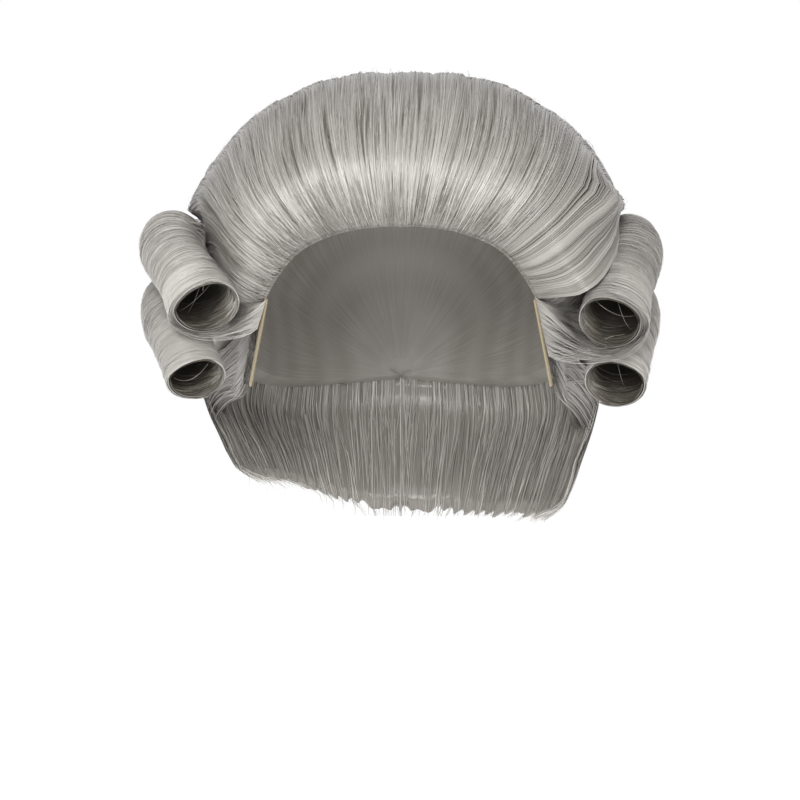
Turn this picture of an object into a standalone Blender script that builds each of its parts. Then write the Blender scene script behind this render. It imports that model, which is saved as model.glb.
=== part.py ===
"""A powdered court wig: a padded dome of hair, four wound side curls and the hair at the nape.

Metres, +Z up. The origin is the top of the hollow, where the wig sits on a head. The front faces -Y,
and left and right are those of someone who looks at that front.
"""
import math

import bmesh
import bpy
import numpy as np

# The hollow for the head: half an ellipsoid over an upright oval
HEAD_HALF_WIDTH = 0.078
HEAD_HALF_LENGTH = 0.097
HEAD_DOME = 0.080

# The dome of hair
CROWN_REACH = 0.1215        # from the middle of the head to the widest round of the dome
CROWN_BACK = 0.114          # from the middle of the head to the back of the dome
SIDE_REACH = CROWN_REACH - 0.0240   # half the width of the tucked sides, which the curls lie against
SHOULDER_DEPTH = 0.0335     # depth of the shoulders' underside below the top of the head
SHOULDER_ROUND = 0.012
TUCK_ROUND = 0.0007         # softness of the bends into the tucked sides
SIDE_RELEASE = 0.045        # behind this the sides are full again
ROLL_RISE = 0.018           # how far the front roll's foremost line lies above the hairline
ROLL_SWELL = 0.015          # how far the front roll stands forward of the hairline
ROLL_FULLNESS = 2.35        # exponent of the roll's round: 2 is an ellipse, more is squarer
BACK_FULLNESS = 2.2
HAIRLINE_LIP = 0.0022       # thickness of the hair at the hairline
BACK_DROP = 0.034           # how far the combed hair sinks from the temples to the nape
FULLER_SIDE = 0.0030        # the dome leans this far to the right
CROWN_LOCKS = 13
CROWN_LOCK_DEPTH = 0.0026

# Hairline seen from the front, as polar rows round the middle of the head: angle from straight up,
# and distance as a share of the head's half width
HAIRLINE = [
    {"angle": 0, "distance": 0.500},
    {"angle": 22, "distance": 0.535},
    {"angle": 44, "distance": 0.622},
    {"angle": 60, "distance": 0.712},
    {"angle": 75, "distance": 0.780},
    {"angle": 88, "distance": 0.845},
    {"angle": 96, "distance": 0.885},
]

# Outline of the dome from the front, in the same polar form: reach is a share of CROWN_REACH
CROWN_OUTLINE = [
    {"angle": 0, "reach": 0.970},
    {"angle": 22, "reach": 0.998},
    {"angle": 42, "reach": 1.000},
    {"angle": 54, "reach": 0.985},
    {"angle": 61, "reach": 0.955},
    {"angle": 68, "reach": 0.850},
    {"angle": 76, "reach": 0.795},
    {"angle": 96, "reach": 0.800},
]
CROWN_EDGE_ANGLE = 95.0

# Where the dome changes towards the temples: over which angles, and by what share
ROLL_THINS = {"start": 45, "end": 90, "share": 0.62}
ROLL_FLATTENS = {"start": 50, "end": 92, "share": 0.95}
LEAN_ENDS = {"start": 52, "end": 66, "share": 1.0}
LOCKS_END = {"start": 58, "end": 70, "share": 1.0}

CROWN_STEPS = (4, 9, 9)     # facets along a lock: hairline to roll, roll to widest round, on to the nape

# The side curls
CURL_RADIUS = 0.0160
CURL_WALL = 0.0024
CURL_LAYER_GAP = 0.0006
CURL_WIND = 470.0           # degrees that the sheet of hair is wound
CURL_ROOT = -70.0           # where the winding starts, in degrees: 0 is inward, 90 is up
CURL_FACETS = 21
ROOT_SWEEP = 0.15           # how far the root leans back, as a share of its length
CURL_RUN = 0.106            # from the upper mouths to the upper curls' back ends
CURL_DIP = 0.036            # how far a mouth hangs below its curl's level stretch
LEFT_INSET = 0.0195         # how far the upper left mouth lies inside its curl's level stretch
RIGHT_INSET = 0.0125
CURL_LEVEL = 0.0445         # depth of the upper curls' level stretch below the top of the head
CURL_FRONT = 0.072          # how far the upper mouths lie in front of the middle of the head

# One curl's axis. Run is the share of CURL_RUN back from the mouth, dip and inset are shares of the
# mouth's own, and girth and root are shares of CURL_RADIUS. The root is the flat band of hair that
# comes from the temple and runs into the winding
UPPER_CURL = [
    {"run": 0.00, "dip": 0.92, "inset": 1.00, "girth": 0.97, "root": 1.00},
    {"run": 0.14, "dip": 0.53, "inset": 0.52, "girth": 0.99, "root": 0.22},
    {"run": 0.30, "dip": 0.21, "inset": 0.12, "girth": 1.02, "root": 0.06},
    {"run": 0.55, "dip": 0.00, "inset": 0.00, "girth": 1.00, "root": 0.05},
    {"run": 0.79, "dip": 0.00, "inset": 0.00, "girth": 1.00, "root": 0.05},
    {"run": 1.00, "dip": 0.04, "inset": 0.00, "girth": 0.90, "root": 0.05},
]
LOWER_CURL = [
    {"run": 0.09, "dip": 1.02, "inset": 0.74, "girth": 0.91, "root": 0.22},
    {"run": 0.21, "dip": 0.60, "inset": 0.40, "girth": 0.95, "root": 0.20},
    {"run": 0.37, "dip": 0.25, "inset": 0.08, "girth": 0.98, "root": 0.08},
    {"run": 0.60, "dip": 0.00, "inset": 0.00, "girth": 1.00, "root": 0.05},
    {"run": 0.82, "dip": 0.00, "inset": 0.00, "girth": 1.00, "root": 0.05},
    {"run": 1.03, "dip": 0.00, "inset": 0.00, "girth": 0.91, "root": 0.05},
]
RIGHT_MOUTH_DROP = 0.0055   # the right upper mouth hangs this much lower than the left one
RIGHT_LEVEL_DROP = 0.0020
RIGHT_LOWER_BACK = 0.0080   # the right lower curl lies this much further back

# The hair at the nape
NAPE_LENGTH = 0.182         # lowest ends below the top of the head
NAPE_LEFT_RISE = 0.020      # the ends behind the left ear are this much shorter
NAPE_START = 0.016          # how far behind the middle of the head it starts
NAPE_WALL = 0.0085
NAPE_LOCK_DEPTH = 0.0022
NAPE_LOCKS_A_SIDE = 5

# Fall of the nape hair: width and back are shares of its upper edge, wall a share of NAPE_WALL
NAPE_FALL = [
    {"fall": 0.00, "width": 1.000, "back": 1.000, "wall": 1.00},
    {"fall": 0.18, "width": 1.020, "back": 0.985, "wall": 1.10},
    {"fall": 0.40, "width": 0.985, "back": 0.930, "wall": 1.15},
    {"fall": 0.62, "width": 0.925, "back": 0.855, "wall": 1.15},
    {"fall": 0.82, "width": 0.870, "back": 0.800, "wall": 1.05},
    {"fall": 0.94, "width": 0.815, "back": 0.765, "wall": 0.80},
    {"fall": 1.00, "width": 0.745, "back": 0.725, "wall": 0.35},
]

# The tape at the cap's edge
TAPE_WIDTH = 0.0024
TAPE_THICKNESS = 0.0012
TAPE_TOP = 0.074            # depth of its upper end below the top of the head
TAPE_BOTTOM = 0.115

GAP = 0.0003                # between pieces that touch

HAIR_COLOUR = (0.42, 0.40, 0.375, 1.0)
TAPE_COLOUR = (0.52, 0.43, 0.27, 1.0)


def column(table, name):
    """The values of one named column of a table."""
    return np.array([row[name] for row in table], dtype=float)


def smooth_rows(table, by, name, at):
    """Read a column at the places `at` of the column `by`, on a smooth cubic through the rows."""
    x = column(table, by)
    y = column(table, name)
    slope = np.gradient(y, x)
    at = np.clip(at, x[0], x[-1])
    i = np.clip(np.searchsorted(x, at, side="right") - 1, 0, len(x) - 2)
    width = x[i + 1] - x[i]
    t = (at - x[i]) / width
    rise = t * t * (3 - 2 * t)
    return (y[i] * (1 - rise) + y[i + 1] * rise
            + width * slope[i] * t * (1 - t) ** 2 - width * slope[i + 1] * t * t * (1 - t))


def ease(t):
    """0 to 1 with level ends."""
    t = np.clip(t, 0.0, 1.0)
    return t * t * (3 - 2 * t)


def left_of(change, angle):
    """What is left of a size at an angle from straight up, after one of the changes above."""
    return 1 - change["share"] * ease((angle - change["start"]) / (change["end"] - change["start"]))


def add_body(name, points, faces, material, collection):
    """One closed mesh object from points and faces, its doubles merged and its faces turned outwards."""
    mesh = bpy.data.meshes.new(name)
    mesh.from_pydata([tuple(p) for p in points], [], faces)
    bm = bmesh.new()
    bm.from_mesh(mesh)
    bmesh.ops.remove_doubles(bm, verts=bm.verts, dist=1e-6)
    bmesh.ops.dissolve_degenerate(bm, edges=bm.edges, dist=1e-7)
    bmesh.ops.triangulate(bm, faces=bm.faces)
    bmesh.ops.recalc_face_normals(bm, faces=bm.faces)
    bm.to_mesh(mesh)
    bm.free()
    mesh.shade_smooth()
    mesh.set_sharp_from_angle(angle=math.radians(50))
    mesh.materials.append(material)
    body = bpy.data.objects.new(name, mesh)
    collection.objects.link(body)
    return body


def shell_between(outer, inner):
    """Points and faces of the closed wall between two grids with the same rows and columns."""
    rows, columns, _ = outer.shape
    points = np.concatenate([outer.reshape(-1, 3), inner.reshape(-1, 3)])
    index = np.arange(rows * columns).reshape(rows, columns)
    below = index + rows * columns
    quads = []
    for sheet in (index, below):
        corners = [sheet[:-1, :-1], sheet[:-1, 1:], sheet[1:, 1:], sheet[1:, :-1]]
        quads += np.stack(corners, -1).reshape(-1, 4).tolist()
    rim = np.concatenate([index[0, :-1], index[:-1, -1], index[-1, :0:-1], index[:0:-1, 0]])
    ahead = np.roll(rim, -1)
    quads += np.stack([rim, ahead, ahead + rows * columns, rim + rows * columns], -1).tolist()
    return points, quads


def lock_valleys(phase, envelope):
    """Depth of the valleys between locks: 0 on each ridge, 1 in each valley at a whole phase."""
    return envelope * (1 - np.abs(np.sin(math.pi * phase)) ** 0.6)


def onto_head(points):
    """Slide points along straight lines from the middle of the head until they lie on its form."""
    x, y = points[..., 0], points[..., 1]
    z = points[..., 2] + HEAD_DOME
    above = np.maximum(z, 0.0)
    ratio = np.sqrt((x / HEAD_HALF_WIDTH) ** 2 + (y / HEAD_HALF_LENGTH) ** 2 + (above / HEAD_DOME) ** 2)
    return np.stack([x / ratio, y / ratio, z / ratio - HEAD_DOME], -1)


def comb_axis(y):
    """Height of the line that the hair is combed round: level at the front, sinking to the nape."""
    return -HEAD_DOME - BACK_DROP * ease((y + 0.55 * HEAD_HALF_LENGTH) / (1.6 * HEAD_HALF_LENGTH))


def crown_surface(angles, steps, swell=ROLL_SWELL, lip=HAIRLINE_LIP):
    """The dome's outer face. Each column is a lock's path, from the hairline over the top to the nape.

    A path lies at one angle round the comb axis. It is three quarter-rounds: hairline to the roll's
    foremost line, on to the dome's widest round, and from there to the nape.
    """
    degrees = np.degrees(np.abs(angles))[None, :]
    rim = HEAD_HALF_WIDTH * smooth_rows(HAIRLINE, "angle", "distance", degrees)
    reach = CROWN_REACH * smooth_rows(CROWN_OUTLINE, "angle", "reach", degrees)

    rim_x = rim * np.sin(angles)[None, :]
    rim_up = np.maximum(rim * np.cos(angles)[None, :], 0.0)
    inside = 1 - (rim_x / HEAD_HALF_WIDTH) ** 2 - (rim_up / HEAD_DOME) ** 2
    rim_y = -HEAD_HALF_LENGTH * np.sqrt(inside)

    raised = 1 + lip / np.hypot(rim, rim_y)
    thinning = left_of(ROLL_THINS, degrees)
    front = rim + ROLL_RISE * thinning
    front_y = rim_y - swell * left_of(ROLL_FLATTENS, degrees)

    first, second, third = steps
    turn = np.linspace(0, math.pi / 2, first, endpoint=False)[:, None]
    out_1 = front - (front - rim * raised) * np.cos(turn)
    y_1 = rim_y * raised - (rim_y * raised - front_y) * np.sin(turn)
    turn = np.linspace(0, math.pi / 2, second, endpoint=False)[:, None]
    out_2 = front + (reach - front) * np.sin(turn) ** (2 / ROLL_FULLNESS)
    y_2 = front_y * np.cos(turn) ** (2 / ROLL_FULLNESS)
    turn = np.linspace(0, math.pi / 2, third)[:, None]
    out_3 = reach * np.maximum(np.cos(turn), 0.0) ** (2 / BACK_FULLNESS)
    y_3 = CROWN_BACK * np.sin(turn) ** (2 / BACK_FULLNESS) * np.ones_like(reach)
    out_3[-1] = 0.0

    out = np.concatenate([out_1, out_2, out_3])
    y = np.concatenate([y_1, y_2, y_3])
    sink = comb_axis(y) + HEAD_DOME
    out = out - sink * np.cos(angles)[None, :] * np.minimum(out / CROWN_REACH, 1.0)
    x = out * np.sin(angles)[None, :]
    z = comb_axis(y) + out * np.cos(angles)[None, :]
    x = x + FULLER_SIDE * left_of(LEAN_ENDS, degrees) * ease(out / CROWN_REACH * 1.6 - 0.6)
    free = np.maximum(ease((z + SHOULDER_DEPTH) / SHOULDER_ROUND), ease((y - SIDE_RELEASE) / SIDE_RELEASE))
    limit = SIDE_REACH + (CROWN_REACH - SIDE_REACH) * free
    tucked = -TUCK_ROUND * np.log(np.exp(-np.abs(x) / TUCK_ROUND) + np.exp(-limit / TUCK_ROUND))
    x = np.sign(x) * np.minimum(np.maximum(tucked, 0.0), np.abs(x))
    return np.stack([x, y, z], -1)


def crown_grids():
    """Outer and inner face of the dome, with the valleys between its locks."""
    phase = np.linspace(0, CROWN_LOCKS, 4 * CROWN_LOCKS + 1)
    even = phase / CROWN_LOCKS * 2 - 1
    edge = math.radians(CROWN_EDGE_ANGLE)
    wander = 0.030 * np.sin(7.3 * even) + 0.018 * np.sin(15.1 * even + 1.0)
    angles = edge * (even + wander * (1 - even ** 2))
    outer = crown_surface(angles, CROWN_STEPS)
    inner = onto_head(crown_surface(angles, CROWN_STEPS, swell=0.0, lip=0.0))

    along = np.linspace(0, 1, outer.shape[0])[:, None]
    side = left_of(LOCKS_END, np.degrees(np.abs(angles)))[None, :]
    envelope = np.sin(math.pi * along ** 0.6) ** 0.7 * side
    depth = CROWN_LOCK_DEPTH * lock_valleys(phase[None, :], envelope)
    away = outer - np.array([0.0, 0.0, -HEAD_DOME])
    away /= np.linalg.norm(away, axis=2, keepdims=True)
    outer = outer - away * depth[..., None]

    return outer, inner


def roll_radius(degrees):
    """Outer radius of a wound roll towards one side of its section. It shrinks from the root on."""
    pitch = CURL_WALL + CURL_LAYER_GAP
    return CURL_RADIUS - pitch * ((CURL_ROOT - degrees) % 360) / 360


def curl_frame(table, side):
    """Stations along a curl: centre, directions inward, upward and ahead, outer radius, root length."""
    right = side > 0
    level = -CURL_LEVEL - (RIGHT_LEVEL_DROP if right else 0.0)
    dip = CURL_DIP + (RIGHT_MOUTH_DROP if right and table is UPPER_CURL else 0.0)
    facet = math.radians(CURL_WIND / (CURL_FACETS - 1))
    out = SIDE_REACH + GAP + roll_radius(0) * math.cos(facet / 2)
    if table is LOWER_CURL:
        level -= roll_radius(-90) + GAP + roll_radius(90)
    run = np.linspace(table[0]["run"], table[-1]["run"], 12)
    read = {name: smooth_rows(table, "run", name, run) for name in ("dip", "inset", "girth", "root")}
    x = side * (out - (RIGHT_INSET if right else LEFT_INSET) * read["inset"])
    y = CURL_RUN * run - CURL_FRONT + (RIGHT_LOWER_BACK if right and table is LOWER_CURL else 0.0)
    z = level - dip * read["dip"]
    centre = np.stack([x, y, z], -1)
    ahead = np.gradient(centre, axis=0)
    ahead /= np.linalg.norm(ahead, axis=1, keepdims=True)
    inward = np.array([-side, 0.0, 0.0]) - ahead * (ahead @ np.array([-side, 0.0, 0.0]))[:, None]
    inward /= np.linalg.norm(inward, axis=1, keepdims=True)
    upward = side * np.cross(ahead, inward)
    return centre, (inward, upward, ahead), CURL_RADIUS * read["girth"], CURL_RADIUS * read["root"]


def curl_body(table, side):
    """A sheet of hair wound into a hollow roll, carried along the curl's axis.

    Its section comes in flat from the root, meets the round low on the inner side, runs under the roll,
    up its outer side and over the top, and ends inside its own first turn.
    """
    centre, (inward, upward, ahead), radius, root = curl_frame(table, side)
    wound = np.linspace(0, 1, CURL_FACETS)
    start = math.radians(CURL_ROOT)
    turn = start - math.radians(CURL_WIND) * wound
    shrink = (CURL_WALL + CURL_LAYER_GAP) * CURL_WIND / 360 * wound
    wall = CURL_WALL * (1 - 0.55 * ease((wound - 0.85) / 0.15))
    outside = radius[:, None] - shrink[None, :]
    inside = outside - wall[None, :]
    faces = []
    for reach, thin in ((outside, 0.0), (inside, 0.45 * CURL_WALL)):
        across = reach * np.cos(turn)
        up = reach * np.sin(turn)
        flat = []
        for share in (1.0, 0.5):
            out = root[:, None] * share
            lifted = reach[:, :1] + thin * share
            flat.append(np.concatenate([lifted * math.cos(start) - out * math.sin(start),
                                        lifted * math.sin(start) + out * math.cos(start),
                                        ROOT_SWEEP * out], axis=1))
        round_part = np.stack([across, up, 0 * up], -1)
        faces.append(np.concatenate([np.stack(flat, axis=1), round_part], axis=1))
    section = np.concatenate([faces[0], faces[1][:, ::-1]], axis=1)
    rings = (centre[:, None] + section[..., :1] * inward[:, None] + section[..., 1:2] * upward[:, None]
             + section[..., 2:] * ahead[:, None])
    stations, count, _ = rings.shape
    index = np.arange(stations * count).reshape(stations, count)
    after = np.roll(index, -1, axis=1)
    quads = np.stack([index[:-1], after[:-1], after[1:], index[1:]], -1).reshape(-1, 4).tolist()
    half = count // 2
    for ring in (index[0], index[-1]):
        far = ring[::-1]
        quads += np.stack([ring[:half - 1], ring[1:half], far[1:half], far[:half - 1]], -1).tolist()
    return rings.reshape(-1, 3), quads


def nape_grids():
    """Outer and inner face of the nape hair, hung from the lower edge of the dome."""
    edge = math.radians(CROWN_EDGE_ANGLE)
    side_edge = crown_surface(np.array([edge]), CROWN_STEPS)[:, 0]
    order = np.argsort(side_edge[:, 1])
    count = 4 * NAPE_LOCKS_A_SIDE
    turn = np.linspace(math.asin(NAPE_START / CROWN_BACK), math.pi / 2, count + 1)
    y = CROWN_BACK * np.sin(turn)
    half_x = np.interp(y, side_edge[order, 1], side_edge[order, 0])
    edge_z = np.interp(y, side_edge[order, 1], side_edge[order, 2])
    half_x[-1] = 0.0
    x = np.concatenate([-half_x, half_x[-2::-1]])
    y = np.concatenate([y, y[-2::-1]])
    top = np.concatenate([edge_z, edge_z[-2::-1]]) - 3 * GAP

    fall = np.linspace(0, 1, 10)[:, None]
    width = smooth_rows(NAPE_FALL, "fall", "width", fall)
    back = smooth_rows(NAPE_FALL, "fall", "back", fall)
    wall = NAPE_WALL * smooth_rows(NAPE_FALL, "fall", "wall", fall)
    behind = ease(y / CROWN_BACK)[None, :]
    leftness = ease(-x / SIDE_REACH)[None, :]
    bottom = -NAPE_LENGTH + NAPE_LEFT_RISE * leftness
    px = x[None, :] * width
    py = y[None, :] * (back * behind + (1 - behind) * (1 - 0.35 * (1 - width)))
    pz = top[None, :] + (bottom - top[None, :]) * fall
    outward = np.stack([x / SIDE_REACH ** 2, y / CROWN_BACK ** 2], -1)
    outward /= np.linalg.norm(outward, axis=1, keepdims=True)

    phase = np.linspace(0, 2 * NAPE_LOCKS_A_SIDE, 2 * count + 1)[None, :]
    dent = NAPE_LOCK_DEPTH * lock_valleys(phase, np.sin(math.pi * fall ** 1.4 * 0.85))
    outer = np.stack([px - outward[:, 0] * dent, py - outward[:, 1] * dent, pz], -1)
    inner = np.stack([px - outward[:, 0] * wall, py - outward[:, 1] * wall, pz * np.ones_like(px)], -1)
    return outer, inner


def tape_body(side):
    """A flat strip that follows the front edge of the cap, from the temple down before the ear."""
    depth = np.linspace(TAPE_TOP, TAPE_BOTTOM, 13)
    share = (depth - TAPE_TOP) / (TAPE_BOTTOM - TAPE_TOP)
    x = side * HEAD_HALF_WIDTH * (0.811 + 0.106 * share)
    y = -HEAD_HALF_LENGTH * np.sqrt(1 - (x / HEAD_HALF_WIDTH) ** 2)
    path = np.stack([x, y, -depth], -1)
    out = np.stack([x / HEAD_HALF_WIDTH ** 2, y / HEAD_HALF_LENGTH ** 2, 0 * x], -1)
    out /= np.linalg.norm(out, axis=1, keepdims=True)
    ahead = np.gradient(path, axis=0)
    ahead /= np.linalg.norm(ahead, axis=1, keepdims=True)
    across = np.cross(out, ahead)
    corners = [(-1, 0), (-1, 1), (1, 1), (1, 0)]
    rings = [path + across * (a * TAPE_WIDTH / 2) + out * (GAP + b * TAPE_THICKNESS) for a, b in corners]
    rings = np.stack(rings, axis=1)
    stations = len(depth)
    index = np.arange(stations * 4).reshape(stations, 4)
    after = np.roll(index, -1, axis=1)
    quads = np.stack([index[:-1], after[:-1], after[1:], index[1:]], -1).reshape(-1, 4).tolist()
    quads += [index[0].tolist(), index[-1].tolist()]
    return rings.reshape(-1, 3), quads


def finish(name, colour, roughness):
    """A plain Principled material."""
    material = bpy.data.materials.new(name)
    material.use_nodes = True
    shader = material.node_tree.nodes["Principled BSDF"]
    shader.inputs["Base Color"].default_value = colour
    shader.inputs["Roughness"].default_value = roughness
    shader.inputs["Metallic"].default_value = 0.0
    return material


def main():
    for item in list(bpy.data.objects):
        bpy.data.objects.remove(item, do_unlink=True)
    wig = bpy.data.collections.new("powdered_wig")
    bpy.context.scene.collection.children.link(wig)

    hair = {}
    for name in ("crown_hair", "curl_hair", "nape_hair"):
        hair[name] = finish(name, HAIR_COLOUR, 0.45)
    tape = finish("edge_tape", TAPE_COLOUR, 0.85)

    add_body("crown_hair", *shell_between(*crown_grids()), hair["crown_hair"], wig)
    for side, side_name in ((-1, "left"), (1, "right")):
        add_body(f"curl_upper_{side_name}", *curl_body(UPPER_CURL, side), hair["curl_hair"], wig)
        add_body(f"curl_lower_{side_name}", *curl_body(LOWER_CURL, side), hair["curl_hair"], wig)
        add_body(f"edge_tape_{side_name}", *tape_body(side), tape, wig)
    add_body("nape_hair", *shell_between(*nape_grids()), hair["nape_hair"], wig)


main()
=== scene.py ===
# %% [markdown]
# This lesson dresses a powdered court wig in hair. The solids of the wig come in as a fixed frame, and
# every surface below follows the same sizes, so each lock lies where its solid is.

# %% Frame
import math

import bpy
import numpy as np
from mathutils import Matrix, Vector


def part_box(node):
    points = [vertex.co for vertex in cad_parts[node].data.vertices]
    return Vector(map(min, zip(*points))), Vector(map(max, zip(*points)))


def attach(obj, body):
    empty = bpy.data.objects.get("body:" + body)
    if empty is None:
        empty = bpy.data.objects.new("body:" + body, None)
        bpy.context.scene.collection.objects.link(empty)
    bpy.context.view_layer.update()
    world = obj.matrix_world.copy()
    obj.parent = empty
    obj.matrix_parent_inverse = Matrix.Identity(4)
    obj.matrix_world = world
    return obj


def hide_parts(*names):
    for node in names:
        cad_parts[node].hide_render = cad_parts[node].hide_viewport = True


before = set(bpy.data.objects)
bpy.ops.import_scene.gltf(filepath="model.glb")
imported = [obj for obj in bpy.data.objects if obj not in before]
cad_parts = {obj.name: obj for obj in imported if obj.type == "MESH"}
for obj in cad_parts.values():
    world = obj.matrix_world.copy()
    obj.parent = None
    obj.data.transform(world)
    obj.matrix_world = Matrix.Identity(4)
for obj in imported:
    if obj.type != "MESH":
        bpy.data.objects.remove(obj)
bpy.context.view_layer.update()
_, crown_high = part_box("crown_hair")
rng = np.random.default_rng(1775)
print("nodes:", sorted(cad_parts))

# %% [markdown]
# Hair is combed over a padded dome. The sizes of that dome repeat the ones that the solids were made
# from, and what can be read off the frame is read off it. A table is read on a smooth curve through its
# rows, so a few rows are enough for a soft outline.

# %% Sizes of the head form and the dome
HEAD_HALF_WIDTH = 0.078
HEAD_HALF_LENGTH = 0.097
HEAD_DOME = 0.080
CROWN_REACH = 0.1215
CROWN_BACK = crown_high.y
SIDE_REACH = 0.0975
SHOULDER_DEPTH = 0.0335
SHOULDER_ROUND = 0.012
TUCK_ROUND = 0.0007
SIDE_RELEASE = 0.045
ROLL_RISE = 0.018
ROLL_SWELL = 0.015
ROLL_FULLNESS = 2.35
BACK_FULLNESS = 2.2
HAIRLINE_LIP = 0.0022
BACK_DROP = 0.034
FULLER_SIDE = 0.0030
RIGHT_LAP = 0.0075          # the last lock on the right laps this far over the curl behind it
LEFT_LAP = -0.0015
GAP = 0.0003                # clearance between neighbouring solids
CROWN_EDGE = math.radians(95)
FRONT_SHARE = 0.13          # share of a strand's way that lies below the roll's foremost line
WIDEST_SHARE = 0.52         # share of its way at which it passes the dome's widest round
SIDE_BEND = 0.14            # share of its first angle that a strand at the side loses to the comb
MIDDLE_BEND = 0.18          # what a strand in the middle loses beyond that
START_EDGE = CROWN_EDGE / (1 - SIDE_BEND)

HAIRLINE = {
    "angle": [0, 22, 44, 60, 75, 88, 96],
    "distance": [0.500, 0.535, 0.622, 0.712, 0.780, 0.845, 0.885],
}
CROWN_OUTLINE = {
    "angle": [0, 22, 42, 54, 61, 68, 76, 96],
    "reach": [0.970, 0.998, 1.000, 0.985, 0.955, 0.850, 0.795, 0.800],
}


def ease(t):
    """0 to 1 with level ends: three t squared less two t cubed."""
    t = np.clip(t, 0.0, 1.0)
    return t * t * (3 - 2 * t)


def read(table, by, name, at):
    """A column of a table, read at the places `at` on a smooth cubic through its rows."""
    x = np.asarray(table[by], float)
    y = np.asarray(table[name], float)
    slope = np.gradient(y, x)
    at = np.clip(at, x[0], x[-1])
    i = np.clip(np.searchsorted(x, at, side="right") - 1, 0, len(x) - 2)
    width = x[i + 1] - x[i]
    t = (at - x[i]) / width
    rise = t * t * (3 - 2 * t)
    return (y[i] * (1 - rise) + y[i + 1] * rise
            + width * slope[i] * t * (1 - t) ** 2 - width * slope[i + 1] * t * t * (1 - t))


def unit(vectors):
    """Vectors divided by their lengths."""
    return vectors / np.maximum(np.linalg.norm(vectors, axis=-1, keepdims=True), 1e-12)


print("dome:", round(2 * CROWN_REACH * 1000), "mm across,", round(CROWN_BACK * 1000), "mm to the back")

# %% [markdown]
# A combed strand sets out square to the hairline and is drawn towards straight back as it rises. A plain
# fan of straight lines would look like a shell, so the bend is its own function: a share of the angle at
# which the strand set out, more in the middle than at the sides.

# %% How the comb bends a strand
def comb_axis(y):
    """Height of the line that the hair is combed round: level in front, eased down to the nape."""
    return -HEAD_DOME - BACK_DROP * ease((y + 0.55 * HEAD_HALF_LENGTH) / (1.6 * HEAD_HALF_LENGTH))


def bend(along):
    """Share of the whole bend that is reached at a share of the way: all of it at 45%."""
    return ease((along - 0.03) / 0.42)


def combed(start, along):
    """Angle of a strand on its way: its first angle, less 32% in the middle and 14% at the sides."""
    share = SIDE_BEND + MIDDLE_BEND * (1 - ease((np.degrees(np.abs(start)) - 35) / 45))
    return start * (1 - share * bend(along))


def first_angle(angle, along):
    """The angle at which the strand through a place set out, column by column from the way back."""
    starts = np.linspace(-START_EDGE, START_EDGE, 600)
    return np.stack([np.interp(angle[:, 0], combed(starts, k), starts) for k in along[0]], axis=1)


print("a strand that sets out at 40 degrees ends at", np.degrees(combed(math.radians(40), 1.0)).round(1))

# %% [markdown]
# The dome is a function of two parameters: the angle round the comb axis, and how far along its way a
# strand is. It bends over the foremost line of the roll, passes the widest round and runs down to the
# nape. Quarter-rounds with their own fullness join there without a corner, as padded hair does.

# %% The dome of hair
def tucked_in(x, y, z):
    """The dome's sides drawn in behind the curls, by a smooth least of x and a limit; the last lock
    laps over the curl on the right."""
    free = np.maximum(ease((z + SHOULDER_DEPTH) / SHOULDER_ROUND), ease((y - SIDE_RELEASE) / SIDE_RELEASE))
    limit = SIDE_REACH + (CROWN_REACH - SIDE_REACH) * free
    lap = np.where(x > 0, RIGHT_LAP, LEFT_LAP) * ease((np.abs(x) - 0.078) / 0.014)
    lap = lap * ease((-0.008 - y) / 0.02) * ease((z + 0.078) / 0.03)
    x = x + np.sign(x) * lap * (1 - ease((z + 0.030) / 0.016))
    limit = limit + lap * (1 - free)
    tucked = -TUCK_ROUND * np.log(np.exp(-np.abs(x) / TUCK_ROUND) + np.exp(-limit / TUCK_ROUND))
    return np.sign(x) * np.minimum(np.maximum(tucked, 0.0), np.abs(x))


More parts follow.
